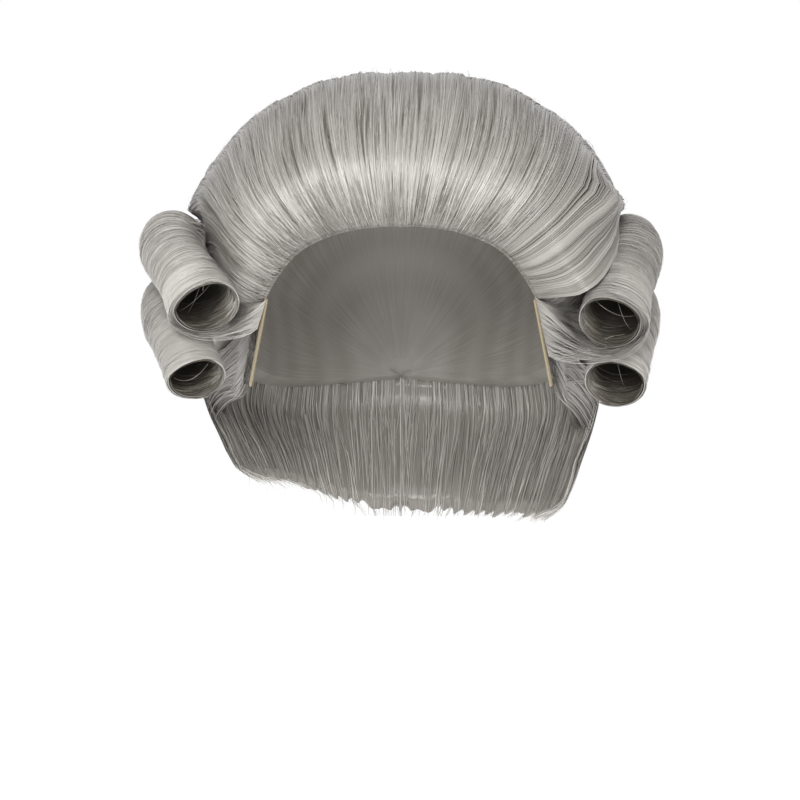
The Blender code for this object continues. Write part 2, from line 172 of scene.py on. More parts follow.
def dome(angle, along, swell=ROLL_SWELL, lip=HAIRLINE_LIP, rise=ROLL_RISE):
    """Points of the dome. Distance from the comb axis and depth follow three quarter-rounds:
    hairline to foremost line, foremost line to widest round, widest round to nape."""
    angle, along = np.broadcast_arrays(angle, along)
    degrees = np.degrees(np.abs(angle))
    rim = HEAD_HALF_WIDTH * read(HAIRLINE, "angle", "distance", degrees)
    reach = CROWN_REACH * read(CROWN_OUTLINE, "angle", "reach", degrees)
    rim_up = np.maximum(rim * np.cos(angle), 0.0)
    inside = 1 - (rim * np.sin(angle) / HEAD_HALF_WIDTH) ** 2 - (rim_up / HEAD_DOME) ** 2
    rim_y = -HEAD_HALF_LENGTH * np.sqrt(inside)
    raised = 1 + lip / np.hypot(rim, rim_y)
    front = rim + rise * (1 - 0.62 * ease((degrees - 45) / 45))
    front_y = rim_y - swell * (1 - 0.95 * ease((degrees - 50) / 42))

    first = np.clip(along / FRONT_SHARE, 0, 1) * math.pi / 2
    second = np.clip((along - FRONT_SHARE) / (WIDEST_SHARE - FRONT_SHARE), 0, 1) * math.pi / 2
    third = np.clip((along - WIDEST_SHARE) / (1 - WIDEST_SHARE), 0, 1) * math.pi / 2
    out = np.where(along < FRONT_SHARE, front - (front - rim * raised) * np.cos(first),
                   front + (reach - front) * np.sin(second) ** (2 / ROLL_FULLNESS))
    y = np.where(along < FRONT_SHARE, rim_y * raised - (rim_y * raised - front_y) * np.sin(first),
                 front_y * np.maximum(np.cos(second), 0) ** (2 / ROLL_FULLNESS))
    past = along > WIDEST_SHARE
    out = np.where(past, reach * np.maximum(np.cos(third), 0) ** (2 / BACK_FULLNESS), out)
    y = np.where(past, CROWN_BACK * np.sin(third) ** (2 / BACK_FULLNESS), y)

    sink = comb_axis(y) + HEAD_DOME
    out = out - sink * np.cos(angle) * np.minimum(out / CROWN_REACH, 1.0)
    x = out * np.sin(angle)
    z = comb_axis(y) + out * np.cos(angle)
    x = x + FULLER_SIDE * (1 - ease((degrees - 52) / 14)) * ease(out / CROWN_REACH * 1.6 - 0.6)
    return np.stack([tucked_in(x, y, z), y, z], -1)


def dome_normal(angle, along):
    """Outward direction: the cross product of a small step sideways and a small step along."""
    step = 2e-3
    sideways = dome(angle + step, along) - dome(angle - step, along)
    onward = dome(angle, np.minimum(along + step, 0.998)) - dome(angle, np.maximum(along - step, 0.0))
    return unit(np.cross(sideways, onward))


top = dome(np.zeros(1), np.array([WIDEST_SHARE]))[0]
outward = dome_normal(np.array([0.3]), np.array([0.4]))[0]
print("top of the dome:", np.round(top * 1000), "normal at the front:", np.round(outward, 2))

# %% [markdown]
# Three forms meet the dome: the head inside it, the cap's edge at the temples, and locks that leave it
# and come back. The first two share one ellipse, with half an ellipsoid over it. A lock needs to know how
# high it lies over the dome, and the nearest place of a fine grid answers that without solving for it.

# %% The head form, the temples and the height over the dome
TEMPLE_TOP = 0.074
TEMPLE_FALL = 0.041
TEMPLE_OUT, TEMPLE_SPREAD = 0.811, 0.106    # shares of the head's half width: at the top, and gained below


def onto_head(points):
    """Points slid along straight lines from the middle of the head until they lie on its form."""
    x, y = points[..., 0], points[..., 1]
    z = points[..., 2] + HEAD_DOME
    ratio = np.sqrt((x / HEAD_HALF_WIDTH) ** 2 + (y / HEAD_HALF_LENGTH) ** 2
                    + (np.maximum(z, 0.0) / HEAD_DOME) ** 2)
    return np.stack([x / ratio, y / ratio, z / ratio - HEAD_DOME], -1)


def temple_line(side, share):
    """The cap's edge in front of an ear, on the head's ellipse, from its top at 0 to its foot at 1."""
    x = side * HEAD_HALF_WIDTH * (TEMPLE_OUT + TEMPLE_SPREAD * share)
    y = -HEAD_HALF_LENGTH * np.sqrt(1 - (x / HEAD_HALF_WIDTH) ** 2)
    return np.stack([x, y, -TEMPLE_TOP - TEMPLE_FALL * share], -1)


def over_dome(points, angles, ways):
    """Signed height over the dome and the dome's normal there, from the nearest place of a fine grid."""
    angle, along = np.meshgrid(np.radians(angles), ways, indexing="ij")
    grid = dome(angle, along).reshape(-1, 3).astype(np.float32)
    facing = dome_normal(angle, along).reshape(-1, 3)
    nearest = np.empty(points.shape[:2], int)
    for column in range(points.shape[1]):
        apart = points[:, column, None].astype(np.float32) - grid
        nearest[:, column] = np.argmin(np.einsum("ijk,ijk->ij", apart, apart), axis=1)
    height = ((points - grid[nearest]) * facing[nearest]).sum(-1)
    return height, facing[nearest]


print("foot of the right temple:", np.round(temple_line(1, 1.0) * 1000, 1))

# %% [markdown]
# Combed hair isn't even. It gathers in broad locks, in narrow clumps inside the locks, and here and there
# it opens in a short gap, darkened by painted shade. Three fields hold that, and both the wall and the loose
# strands read them, so a gap is a gap in every layer.

# %% Places and tones of the locks, clumps and gaps
CROWN_LOCKS = 13
LOCK_DEPTH = 0.0014
CLUMP_DEPTH = 0.0006
CLUMPS = 150
GAPS = 760


def jittered_edges(cells, jitter, source):
    """Edges of equal cells from 0 to 1, each moved by chance by up to a share of a cell, then sorted."""
    return np.sort((np.arange(cells + 1) + source.uniform(-jitter, jitter, cells + 1)) / cells)


lock_edges = jittered_edges(CROWN_LOCKS, 0.25, rng)
clump_edges = jittered_edges(CLUMPS, 0.4, rng)
clump_tone = rng.normal(0, 0.05, CLUMPS + 2)
clump_drift = rng.normal(0, 0.006, (CLUMPS + 2, 2))
gap_start = rng.uniform(-START_EDGE, START_EDGE, GAPS)
gap_along = rng.beta(1.2, 3.6, GAPS) * 0.9 + 0.02
gap_width = rng.uniform(0.0025, 0.0080, GAPS)
gap_length = rng.uniform(0.010, 0.050, GAPS)
gap_depth = rng.uniform(0.15, 1.0, GAPS) ** 1.4 * (1 - 0.6 * ease((gap_along - 0.3) / 0.3))
PARTINGS = {                # longer gaps where the comb lifted the hair apart
    "degrees": [5, -5, -29, 31, -52],
    "along": [0.34, 0.37, 0.27, 0.31, 0.16],
    "width": [0.012, 0.008, 0.008, 0.009, 0.008],
    "length": [0.09, 0.07, 0.06, 0.08, 0.05],
    "depth": [0.9, 0.6, 0.8, 0.7, 0.8],
}
gap_start = np.append(gap_start, np.radians(PARTINGS["degrees"]))
gap_along = np.append(gap_along, PARTINGS["along"])
gap_width = np.append(gap_width, PARTINGS["width"])
gap_length = np.append(gap_length, PARTINGS["length"])
gap_depth = np.append(gap_depth, PARTINGS["depth"])
print(CROWN_LOCKS, "locks,", CLUMPS, "clumps,", len(gap_start), "gaps")

# %% [markdown]
# A field is a number at every place of the dome. Locks and clumps are half sine waves between uneven
# edges, and a gap is a narrow bell, long in the combing direction. Painted stripes would stay flat at the
# silhouette, so these fields move the surface as well as its colour.

# %% Fields of locks, clumps and gaps
def spread_of(start):
    """Place across the dome by a strand's first angle, from 0 at the far left to 1 at the far right."""
    return (start / START_EDGE + 1) / 2


def cell_of(place, edges):
    """Number of the cell between two edges in which a place lies."""
    return np.interp(place, edges, np.arange(len(edges))).astype(int)


def ridge(place, edges, sharpness):
    """1 in the middle of each cell between two edges, 0 at the edges: a power of a half sine wave."""
    cell = np.interp(place, edges, np.arange(len(edges)))
    return np.abs(np.sin(math.pi * cell)) ** sharpness


def gaps(start, along):
    """Sum of short narrow bells, each at its own place and as long and wide as its own sizes."""
    total = np.zeros(np.broadcast(start, along).shape, np.float32)
    for place, way, width, length, depth in zip(gap_start, gap_along, gap_width, gap_length, gap_depth):
        across = (start - place) / width
        down = (along - way) / length
        near = (np.abs(across) < 3) & (np.abs(down) < 3)
        if near.any():
            across, down = np.broadcast_arrays(across, down)
            total[near] += depth * np.exp(-across[near] ** 2 - down[near] ** 2)
    return np.minimum(total, 1.0)


def dent(start, along):
    """How deep the dome lies below its round at a place: locks, clumps and their fade at the ends."""
    degrees = np.degrees(np.abs(combed(start, along)))
    place = spread_of(start)
    broad = 1 - ridge(place + 0.006 * np.sin(7 * along + 9 * place), lock_edges, 0.8)
    broad = broad * np.sin(math.pi * np.clip(along, 0, 1) ** 0.6) ** 0.7 * (1 - ease((degrees - 58) / 14))
    narrow = 1 - ridge(place + 0.003 * np.sin(17 * along + 40 * place), clump_edges, 0.7)
    narrow = narrow * ease(along / 0.08) * (1 - 0.8 * ease((along - 0.22) / 0.22))
    return LOCK_DEPTH * broad + CLUMP_DEPTH * narrow


print("deepest dent at the front:", round(dent(np.linspace(-1, 1, 400), 0.3).max() * 1000, 2), "mm")

# %% [markdown]
# A mesh is filled from whole arrays. Each point carries a tone, from dark at 0 to powdered white at 1,
# and a UV place: U runs across the hair and V along it, so that the finish can stretch its grain and its
# gloss the way hair does.

# %% Meshes from arrays
def add_mesh(name, points, quads, uv, tone, material, second=None, split=None):
    """One mesh object at the origin from an array of points and an array of quads.

    Quads from number `split` on have the second material.
    """
    mesh = bpy.data.meshes.new(name)
    mesh.vertices.add(len(points))
    mesh.vertices.foreach_set("co", points.astype(np.float32).ravel())
    mesh.loops.add(quads.size)
    mesh.loops.foreach_set("vertex_index", quads.astype(np.int32).ravel())
    mesh.polygons.add(len(quads))
    mesh.polygons.foreach_set("loop_start", np.arange(0, quads.size, 4, dtype=np.int32))
    mesh.update(calc_edges=True)
    layer = mesh.uv_layers.new(name="hair")
    layer.data.foreach_set("uv", uv[quads.ravel()].astype(np.float32).ravel())
    shade = mesh.attributes.new("tone", "FLOAT", "POINT")
    shade.data.foreach_set("value", tone.astype(np.float32))
    mesh.shade_smooth()
    mesh.materials.append(material)
    if second is not None:
        mesh.materials.append(second)
        mesh.polygons.foreach_set("material_index", (np.arange(len(quads)) >= split).astype(np.int32))
    piece = bpy.data.objects.new(name, mesh)
    bpy.context.scene.collection.objects.link(piece)
    return piece


def wall_mesh(name, outer, inner, uv, tone, inner_tone, material, second=None, turned=False):
    """A closed wall: outer grid, rim, and inner grid turned round; a second material is the inner one's."""
    rows, columns, _ = outer.shape
    index = np.arange(rows * columns).reshape(rows, columns)
    front = np.stack([index[:-1, :-1], index[1:, :-1], index[1:, 1:], index[:-1, 1:]], -1).reshape(-1, 4)
    back = front[:, ::-1] + rows * columns
    rim = np.concatenate([index[0, :-1], index[:-1, -1], index[-1, :0:-1], index[:0:-1, 0]])
    ahead = np.roll(rim, -1)
    edge = np.stack([rim, ahead, ahead + rows * columns, rim + rows * columns], -1)
    quads = np.concatenate([front, edge, back])
    if turned:
        quads = quads[:, ::-1]
    uv = np.stack(np.broadcast_arrays(*uv), -1).reshape(-1, 2)
    tones = np.concatenate([tone.ravel(), np.broadcast_to(inner_tone, tone.shape).ravel()])
    points = np.concatenate([outer.reshape(-1, 3), inner.reshape(-1, 3)])
    return add_mesh(name, points, quads, np.concatenate([uv, uv]), tones, material, second,
                    len(front) + len(edge))


print("mesh helpers ready")

# %% [markdown]
# A loose strand is a ribbon. Blender has hair curves too, but a ribbon exports as plain triangles, and a
# raised middle line gives it a round look for four triangles a step. Its width thins towards the ends,
# and each strand is turned a little its own way, so neighbours catch the light one after another.

# %% Strands and what all pieces share
def taper(t, loss, power):
    """1 in the middle of a strand, less a share at both ends: a power of the distance from the middle."""
    return 1 - loss * np.abs(2 * t - 1) ** power


def turned_by_chance(source, normals, amount):
    """Normals with a random vector added to each strand's, all along it."""
    return unit(normals + amount * source.normal(0, 1, (len(normals), 1, 3)))


def strand_mesh(name, paths, normals, widths, tones, material, lines=3):
    """Strands as ribbons of 3 lines, two edges and a raised middle, or of 2 for the finest hairs.

    The side direction is the cross product of the path's direction and the surface normal.
    """
    count, steps, _ = paths.shape
    forward = unit(np.gradient(paths, axis=1))
    side = unit(np.cross(forward, normals))
    half = np.broadcast_to(widths, (count, steps))[..., None] / 2
    rows = np.stack([paths - side * half, paths + normals * half * 0.5, paths + side * half], axis=2)
    if lines == 2:
        rows = rows[:, :, ::2]
    index = np.arange(count * steps * lines).reshape(count, steps, lines)
    quads = np.stack([index[:, :-1, :-1], index[:, :-1, 1:], index[:, 1:, 1:], index[:, 1:, :-1]], -1)
    across = np.linspace(0, 1, lines)[None, None, :] + np.arange(count)[:, None, None] * 3.0
    down = np.linspace(0, 1, steps)[None, :, None]
    uv = np.stack(np.broadcast_arrays(across * 0.01, down), -1)
    tone = np.repeat(np.clip(np.broadcast_to(tones, (count, steps)), 0, 1)[..., None], lines, axis=2)
    return add_mesh(name, rows.reshape(-1, 3), quads.reshape(-1, 4), uv.reshape(-1, 2), tone.ravel(),
                    material)


def dress(slot, *pieces):
    """The wig is one body, so every piece rides on it; `slot` is not used."""
    for piece in pieces:
        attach(piece, "root")
        print(piece.name, len(piece.data.polygons) * 2, "triangles")


print("strand helpers ready")

# %% [markdown]
# The finish is fine synthetic fibre, grey to nearly white where it is powdered, with a gloss that draws out
# across the strands. Anisotropy does that. Its tangent comes from the UV map, whose U runs across the hair.
# The tone attribute picks the colour and carries painted shade and highlights as well as the hair's own
# tones; a stretched noise breaks it into finer hairs. A darker copy paints the shade inside the curls.

# %% The hair finish
GRAIN_CONTRAST = 0.40


def new_finish(name, sockets):
    """A material whose Principled shader has some sockets set by name."""
    material = bpy.data.materials.new(name)
    material.use_nodes = True
    for socket, value in sockets.items():
        material.node_tree.nodes["Principled BSDF"].inputs[socket].default_value = value
    return material


def add_node(material, kind, **sockets):
    """A new shader node with its sockets set by name."""
    node = material.node_tree.nodes.new("ShaderNode" + kind)
    for socket, value in sockets.items():
        node.inputs[socket].default_value = value
    return node


def hair_finish(name, dark, middle, light, across, along, roughness=0.32, bump=0.25, gloss=0.48):
    """A Principled finish: tone and stretched noise to colour, stretched noise to bump."""
    material = new_finish(name, {"Roughness": roughness, "Anisotropic": 0.72, "Specular IOR Level": gloss,
                                 "Sheen Weight": 0.1 * gloss, "Sheen Roughness": 0.5})
    link = material.node_tree.links.new
    shader = material.node_tree.nodes["Principled BSDF"]
    tone = add_node(material, "Attribute")
    tone.attribute_name = "tone"
    place = add_node(material, "UVMap")
    place.uv_map = "hair"
    stretch = add_node(material, "Mapping", Scale=(across, along, 1.0))
    grain = add_node(material, "TexNoise", Scale=1.0, Detail=4.0, Roughness=0.62)
    centred = add_node(material, "Math")
    centred.operation = "MULTIPLY_ADD"
    centred.inputs[1].default_value = GRAIN_CONTRAST
    centred.inputs[2].default_value = -GRAIN_CONTRAST / 2
    mixed = add_node(material, "Math")
    mixed.operation = "ADD"
    mixed.use_clamp = True
    ramp = add_node(material, "ValToRGB")
    ramp.color_ramp.elements[0].position = 0.05
    ramp.color_ramp.elements[0].color = (*dark, 1)
    ramp.color_ramp.elements[1].position = 0.95
    ramp.color_ramp.elements[1].color = (*light, 1)
    ramp.color_ramp.elements.new(0.5).color = (*middle, 1)
    relief = add_node(material, "Bump", Strength=bump, Distance=0.0004)
    tangent = add_node(material, "Tangent")
    tangent.direction_type = "UV_MAP"
    tangent.uv_map = "hair"

    link(place.outputs["UV"], stretch.inputs["Vector"])
    link(stretch.outputs["Vector"], grain.inputs["Vector"])
    link(grain.outputs["Fac"], centred.inputs[0])
    link(tone.outputs["Fac"], mixed.inputs[0])
    link(centred.outputs["Value"], mixed.inputs[1])
    link(mixed.outputs["Value"], ramp.inputs["Fac"])
    link(ramp.outputs["Color"], shader.inputs["Base Color"])
    link(grain.outputs["Fac"], relief.inputs["Height"])
    link(relief.outputs["Normal"], shader.inputs["Normal"])
    link(tangent.outputs["Tangent"], shader.inputs["Tangent"])
    return material


ASH = (0.110, 0.098, 0.082)
SILVER = (0.300, 0.286, 0.266)
POWDER = (0.500, 0.478, 0.446)
wall_hair = hair_finish("crown_hair", ASH, SILVER, POWDER, across=420, along=7, bump=0.4)
strand_hair = hair_finish("strand_hair", ASH, SILVER, POWDER, across=160, along=5, bump=0.15)
# a darker, less glossy copy of the hair finish: painted shade inside the curls
bore_shade_hair = hair_finish("bore_shade_hair", (0.022, 0.019, 0.014), (0.12, 0.108, 0.088), (0.36, 0.34, 0.31),
                        across=300, along=6, roughness=0.5, gloss=0.2)
print("finishes:", wall_hair.name, strand_hair.name, bore_shade_hair.name)

# %% [markdown]
# The wall of the dome replaces its plain solid. Its outer face has the locks and clumps as real relief,
# and its inner face lies on the head form, so the wall is as thick as the padded hair. Faint rows run
# over the inner face, because the hair of a cap is sewn on in rows.

# %% The dome's wall
WALL_ACROSS, WALL_ALONG = 400, 72
WEFT_ROWS = 15
POLE = 0.9985               # the grid stops just short of the point where all strands meet


def crown_wall():
    """Outer grid sunk by the dents and gaps, inner grid on the head, closed into one wall."""
    angle = np.linspace(-CROWN_EDGE, CROWN_EDGE, WALL_ACROSS)[:, None]
    along = (np.linspace(0, 1, WALL_ALONG) ** 1.15 * POLE)[None, :]
    start = first_angle(angle, along)
    holes = gaps(start, along)
    sunk = dent(start, along) + 0.0010 * holes * (1 - 0.7 * ease((along - 0.25) / 0.2))
    outer = dome(angle, along) - dome_normal(angle, along) * sunk[..., None]
    inner = onto_head(dome(angle, along, swell=0.0, lip=0.0))
    weft = 0.5 + 0.5 * np.cos(2 * math.pi * WEFT_ROWS * along)
    clump = cell_of(spread_of(start), clump_edges)
    # the tone is darkened by painted shade in the gaps and along the hairline, where the roll shades the
    # hair
    tone = 0.32 + clump_tone[clump] - 0.55 * holes - 0.16 * (1 - ease(along / 0.08))
    return wall_mesh("crown_wall", outer, inner, (spread_of(start), along), tone, 0.20 + 0.06 * weft,
                     wall_hair)


crown = crown_wall()
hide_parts("crown_hair")
dress("crown_hair", crown)

# %% [markdown]
# Over the wall lie loose strands. Each starts at the hairline or part of the way along, drifts towards
# the middle of its clump, wavers and strays a little. The farther out a strand sets out, the later it
# comes onto the dome from below its edge, so the sides fill without a strand outside the form.

# %% Paths of the dome's strands
way = np.linspace(0, 1, 200)
room = CROWN_EDGE / (1 - SIDE_BEND * bend(way))     # widest first angle that is on the dome there


def crown_paths(count, steps, shortest, longest):
    """First angles and shares of the way along a number of strands, pulled to their clumps' middles."""
    begin = rng.uniform(-START_EDGE * 0.99, START_EDGE * 0.99, (count, 1))
    enter = np.where(np.abs(begin) < CROWN_EDGE, 0.0, np.interp(np.abs(begin), room, way) + 0.01)
    first = np.where(rng.random((count, 1)) < 0.5, rng.uniform(0.0, 0.03, (count, 1)),
                     rng.uniform(0.0, 0.75, (count, 1)))
    first = np.maximum(first, enter)
    last = np.minimum(first + rng.uniform(shortest, longest, (count, 1)), 0.985)
    t = np.linspace(0, 1, steps)[None, :]
    along = first + (last - first) * t
    cell = np.minimum(cell_of(spread_of(begin), clump_edges), CLUMPS - 1)
    middle = (clump_edges[cell] + clump_edges[cell + 1] - 1) * START_EDGE
    pull = rng.uniform(0.1, 0.7, (count, 1)) * ease((along - 0.03) / 0.3)
    start = begin + (middle - begin) * pull
    start = start + clump_drift[cell, 0] * np.sin(9 * along + clump_drift[cell, 1] * 600)
    start = start + rng.normal(0, 0.0022, (count, 1)) * np.sin(rng.uniform(6, 22, (count, 1)) * along)
    start = start + rng.normal(0, 0.045, (count, 1)) * (along - first)
    return start, along, cell, t


print("a strand that sets out at 105 degrees comes in at", np.interp(math.radians(105), room, way).round(3))

# %% [markdown]
# Most strands stand a fraction of a millimetre proud of the wall. Their tone carries painted shade, darkest
# at the hairline where the roll shades them, and a painted highlight on the roll's brow. Two pieces share
# them, so that neither grows too large.

# %% Strands close to the dome
STRANDS_A_PIECE = 2850
STRAND_STEPS = 12


def painted_crown_light(angle, along):
    """Painted shade at the hairline and a little behind and at the sides, a painted highlight on the roll's
    brow.
    """
    hairline = -0.34 * (1 - ease(along / 0.09))
    painted_brow_highlight = 0.20 * np.exp(-((along - 0.15) / 0.05) ** 2)
    behind = -0.04 * ease((along - 0.3) / 0.2)
    sides = -0.05 * ease((np.degrees(np.abs(angle)) - 48) / 20)
    return hairline + painted_brow_highlight + behind + sides


def crown_strands(name, count):
    """Strands close to the dome, finer and smoother towards the back."""
    start, along, cell, t = crown_paths(count, STRAND_STEPS, 0.16, 0.40)
    angle = np.clip(combed(start, along), -CROWN_EDGE, CROWN_EDGE)
    holes = gaps(start, along)
    rise = rng.gamma(2.0, 0.00013, (count, 1)) * np.sin(math.pi * np.clip(t, 0.02, 0.98)) ** 0.5 + 0.0001
    normals = dome_normal(angle, along)
    paths = dome(angle, along) + normals * (rise - dent(start, along) * 0.85 - 0.0008 * holes)[..., None]
    tilt = turned_by_chance(rng, normals, 0.22)
    widths = rng.uniform(0.00028, 0.00060, (count, 1)) * taper(t, 0.75, 4)
    spread = 0.10 * (1 - 0.40 * ease((along - 0.2) / 0.25))
    # painted shade in the gaps
    tones = 0.40 + clump_tone[cell] + spread * rng.normal(0, 1, (count, 1)) - 0.50 * holes
    return strand_mesh(name, paths, tilt, widths, tones + painted_crown_light(angle, along), strand_hair)


dress("crown_hair", crown_strands("crown_strands_a", STRANDS_A_PIECE),
      crown_strands("crown_strands_b", STRANDS_A_PIECE))

# %% [markdown]
# A clean cut edge would give the wall away, so short hairs come round its lip from inside the hairline.
# A few long fine hairs also stand off the dome: on a real wig they catch the light at the silhouette.

# %% Roots and flyaway hairs
def hairline_roots(count):
    """Short hairs that come round the wall's lip from inside the hairline and join the roll."""
    angle = rng.uniform(-CROWN_EDGE * 0.985, CROWN_EDGE * 0.985, (count, 1))
    along = np.array([0.0, 0.012, 0.03, 0.055, 0.08, 0.11])[None, :] * rng.uniform(0.6, 1.5, (count, 1))
    start = angle + rng.normal(0, 0.012, (count, 1)) * along / 0.1
    normals = dome_normal(start, along)
    above = dome(start, along) + normals * rng.uniform(0.0001, 0.0006, (count, 1))[..., None]
    inside = onto_head(dome(angle, np.zeros_like(angle), swell=0.0, lip=0.0))
    lip = 0.55 * inside + 0.45 * above[:, :1] + np.array([0.0, -0.0005, 0.0])
    paths = np.concatenate([inside, lip, above], axis=1)
    normals = np.concatenate([normals[:, :1], normals[:, :1], normals], axis=1)
    normals[:, :2] = unit(np.array([0.0, -1.0, 0.0]) + 0.3 * normals[:, :2])
    t = np.linspace(0, 1, paths.shape[1])[None, :]
    widths = rng.uniform(0.00025, 0.0006, (count, 1)) * (1 - 0.7 * t**3)
    # their dark tone, lighter towards the roll, is painted shade under the lip of the hairline
    tones = 0.14 + 0.14 * t + rng.normal(0, 0.10, (count, 1))
    return strand_mesh("hairline_roots", paths, normals, widths, tones, strand_hair)


def flyaways(count):
    """A few long fine hairs that stand a millimetre or two off the dome."""
    start, along, _, t = crown_paths(count, 20, 0.25, 0.6)
    start = start + rng.normal(0, 0.05, (count, 1)) * t
    angle = np.clip(combed(start, along), -CROWN_EDGE, CROWN_EDGE)
    rise = rng.gamma(2.0, 0.0005, (count, 1)) * np.sin(math.pi * t) ** 0.8 + 0.0003
    normals = dome_normal(angle, along)
    paths = dome(angle, along) + normals * rise[..., None]
    # their pale tone is a painted highlight, for hairs that catch the light at the silhouette
    return strand_mesh("flyaway_hairs", paths, normals, 0.00016 * (1 - 0.6 * t**2), 0.85, strand_hair, 2)


dress("crown_hair", hairline_roots(1100), flyaways(150))

# %% [markdown]
# Two curls hang on each side. Each is a sheet of hair wound round a level axis that dips towards its open
# mouth. A tube with a hole would miss the second layer that shows inside the rim, so the winding itself
# is the surface. The axis, the girth and the winding repeat the solid curls.

# %% Sizes of the curls
CURL_RADIUS = 0.0160
CURL_WALL = 0.0024
CURL_PITCH = 0.0030
CURL_WIND = 470
CURL_ROOT = -70             # degrees: 0 is inward, 90 is up
ROOT_SWEEP = 0.15
CURL_RUN = 0.106
CURL_LEVEL = 0.0445
CURL_FRONT = 0.072

UPPER = {
    "run": [0, 0.14, 0.30, 0.55, 0.79, 1.0],
    "dip": [0.92, 0.53, 0.21, 0, 0, 0.04],
    "inset": [1, 0.52, 0.12, 0, 0, 0],
    "girth": [0.97, 0.99, 1.02, 1, 1, 0.90],
    "root": [1.00, 0.22, 0.06, 0.05, 0.05, 0.05],
}
LOWER = {
    "run": [0.09, 0.21, 0.37, 0.60, 0.82, 1.03],
    "dip": [1.02, 0.60, 0.25, 0, 0, 0],
    "inset": [0.74, 0.40, 0.08, 0, 0, 0],
    "girth": [0.91, 0.95, 0.98, 1, 1, 0.91],
    "root": [0.22, 0.20, 0.08, 0.05, 0.05, 0.05],
}
CURL_SIZES = {              # wider and flatter press a mouth, as shares of the radius; the last row is a tone of painted light and shade
    "name": ["upper_left", "lower_left", "upper_right", "lower_right"],
    "table": [UPPER, LOWER, UPPER, LOWER],
    "side": [-1, -1, 1, 1],
    "inset": [0.0195, 0.0195, 0.0125, 0.0125],
    "drop": [0.0, 0.0, 0.002, 0.002],
    "dip": [0.036, 0.036, 0.0415, 0.036],
    "back": [0.0, 0.0, 0.0, 0.008],
    "wider": [0.08, 0.00, 0.00, 0.04],
    "flatter": [0.14, 0.22, 0.08, 0.08],
    # a tone offset of painted light and shade for each curl, darkest on the upper right
    "painted_light": [0.06, -0.02, -0.20, -0.03],
}
CURLS = {sizes[0]: dict(zip(CURL_SIZES, sizes)) for sizes in zip(*CURL_SIZES.values())}
for curl in CURLS.values():
    curl["first"], curl["last"] = curl["table"]["run"][0], curl["table"]["run"][-1]
print("curls:", list(CURLS))

# %% [markdown]
# The sheet is again a function of two parameters: the share of the curl's run, and how far it is wound,
# in degrees. The section is a spiral, square to the axis, and it is pressed a little flat at the mouth
# as a soft roll is under its own weight.

# %% The wound sheet
def roll_radius(degrees):
    """The winding's outer radius towards one side of its section."""
    return CURL_RADIUS - CURL_PITCH * ((CURL_ROOT - degrees) % 360) / 360


def curl_centre(curl, run):
    """Point of a curl's axis at a share of its run."""
    out = SIDE_REACH + GAP + roll_radius(0) * math.cos(math.radians(CURL_WIND / 40))
    level = -CURL_LEVEL - curl["drop"]
    if curl["table"] is LOWER:
        level -= roll_radius(-90) + GAP + roll_radius(90)
    x = curl["side"] * (out - curl["inset"] * read(curl["table"], "run", "inset", run))
    y = CURL_RUN * run - CURL_FRONT + curl["back"]
    z = level - curl["dip"] * read(curl["table"], "run", "dip", run)
    return np.stack([x, y, z], -1)


def curl_sheet(curl, run, wound, depth=0.0):
    """Points and outward normals of the wound sheet. Below 0 the sheet runs straight on as its root."""
    run, wound, depth = np.broadcast_arrays(run, wound, depth)
    centre = curl_centre(curl, run)
    step = 0.01
    ahead = unit(curl_centre(curl, run + step) - curl_centre(curl, run - step))
    flat = np.array([-curl["side"], 0.0, 0.0])
    inward = unit(flat - ahead * (ahead @ flat)[..., None])
    upward = curl["side"] * np.cross(ahead, inward)
    turn = np.radians(CURL_ROOT - np.maximum(wound, 0))
    girth = read(curl["table"], "run", "girth", run)
    lips = 1 - ease((run - curl["first"]) / 0.20)
    pitch = CURL_PITCH * (1 - 0.62 * lips)
    radius = CURL_RADIUS * girth - pitch * np.maximum(wound, 0) / 360 - depth
    root = CURL_RADIUS * girth * np.radians(np.maximum(-wound, 0))
    wide = (1 + curl["wider"] * lips)[..., None] * inward
    tall = (1 - curl["flatter"] * lips)[..., None] * upward
    normal = inward * np.cos(turn)[..., None] + upward * np.sin(turn)[..., None]
    tangent = -inward * np.sin(turn)[..., None] + upward * np.cos(turn)[..., None]
    section = wide * np.cos(turn)[..., None] + tall * np.sin(turn)[..., None]
    points = centre + section * radius[..., None] + (tangent + ROOT_SWEEP * ahead) * root[..., None]
    return points, normal


for name, curl in CURLS.items():
    print(name, "mouth at", np.round(curl_centre(curl, np.array(curl["first"])) * 1000))

# %% [markdown]
# Hair in a curl runs round the roll, not along it. So its clumps are rings, which drift a little along
# the curl, and one groove in seven is deeper than the rest. The wall reads these fields first. Its tone
# carries painted light and shade: pale at the rim, dark in the bore and on the inner turns. It is thin
# at the mouth.

# %% The curls' walls
RING_CLUMPS = 58
DEEP_EVERY = 7
SHEET_ROUND, SHEET_ALONG = 96, 62


def ring_place(run, wound):
    """Where a place on the sheet lies among the rings, which drift a little along the curl."""
    return run + 0.010 * np.sin(np.radians(wound) * 0.9 + 11 * run) + 0.006 * np.sin(np.radians(wound) * 2.3)


def ring_groove(curl, run, wound, edges):
    """Depth of the grooves between rings, faded at the mouth; one in seven is four times as deep."""
    place = ring_place(run, wound)
    nearest = np.round(np.interp(place, edges, np.arange(RING_CLUMPS + 1))).astype(int)
    deep = np.where(nearest % DEEP_EVERY == 3, 0.0012, 0.0003)
    return deep * (1 - ridge(place, edges, 0.6)) * ease((run - curl["first"]) / 0.12 + 0.05)


def sheet_depth(curl, run, wound):
    """Thickness of the wound sheet: thin at the mouth and at the winding's inner end."""
    mouth = 0.20 + 0.65 * ease((run - curl["first"]) / 0.10)
    return CURL_WALL * mouth * (1 - 0.55 * ease((wound - 400) / 70))


def bore_tone(curl, run, wound):
    """Light inside the roll: brightest at the mouth, and longest on the side that faces forward."""
    facing = np.maximum(np.cos(np.radians(CURL_ROOT - wound)), 0) ** 2
    return (0.25 + 0.35 * facing) * (1 - ease((run - curl["first"]) / (0.03 + 0.09 * facing)))


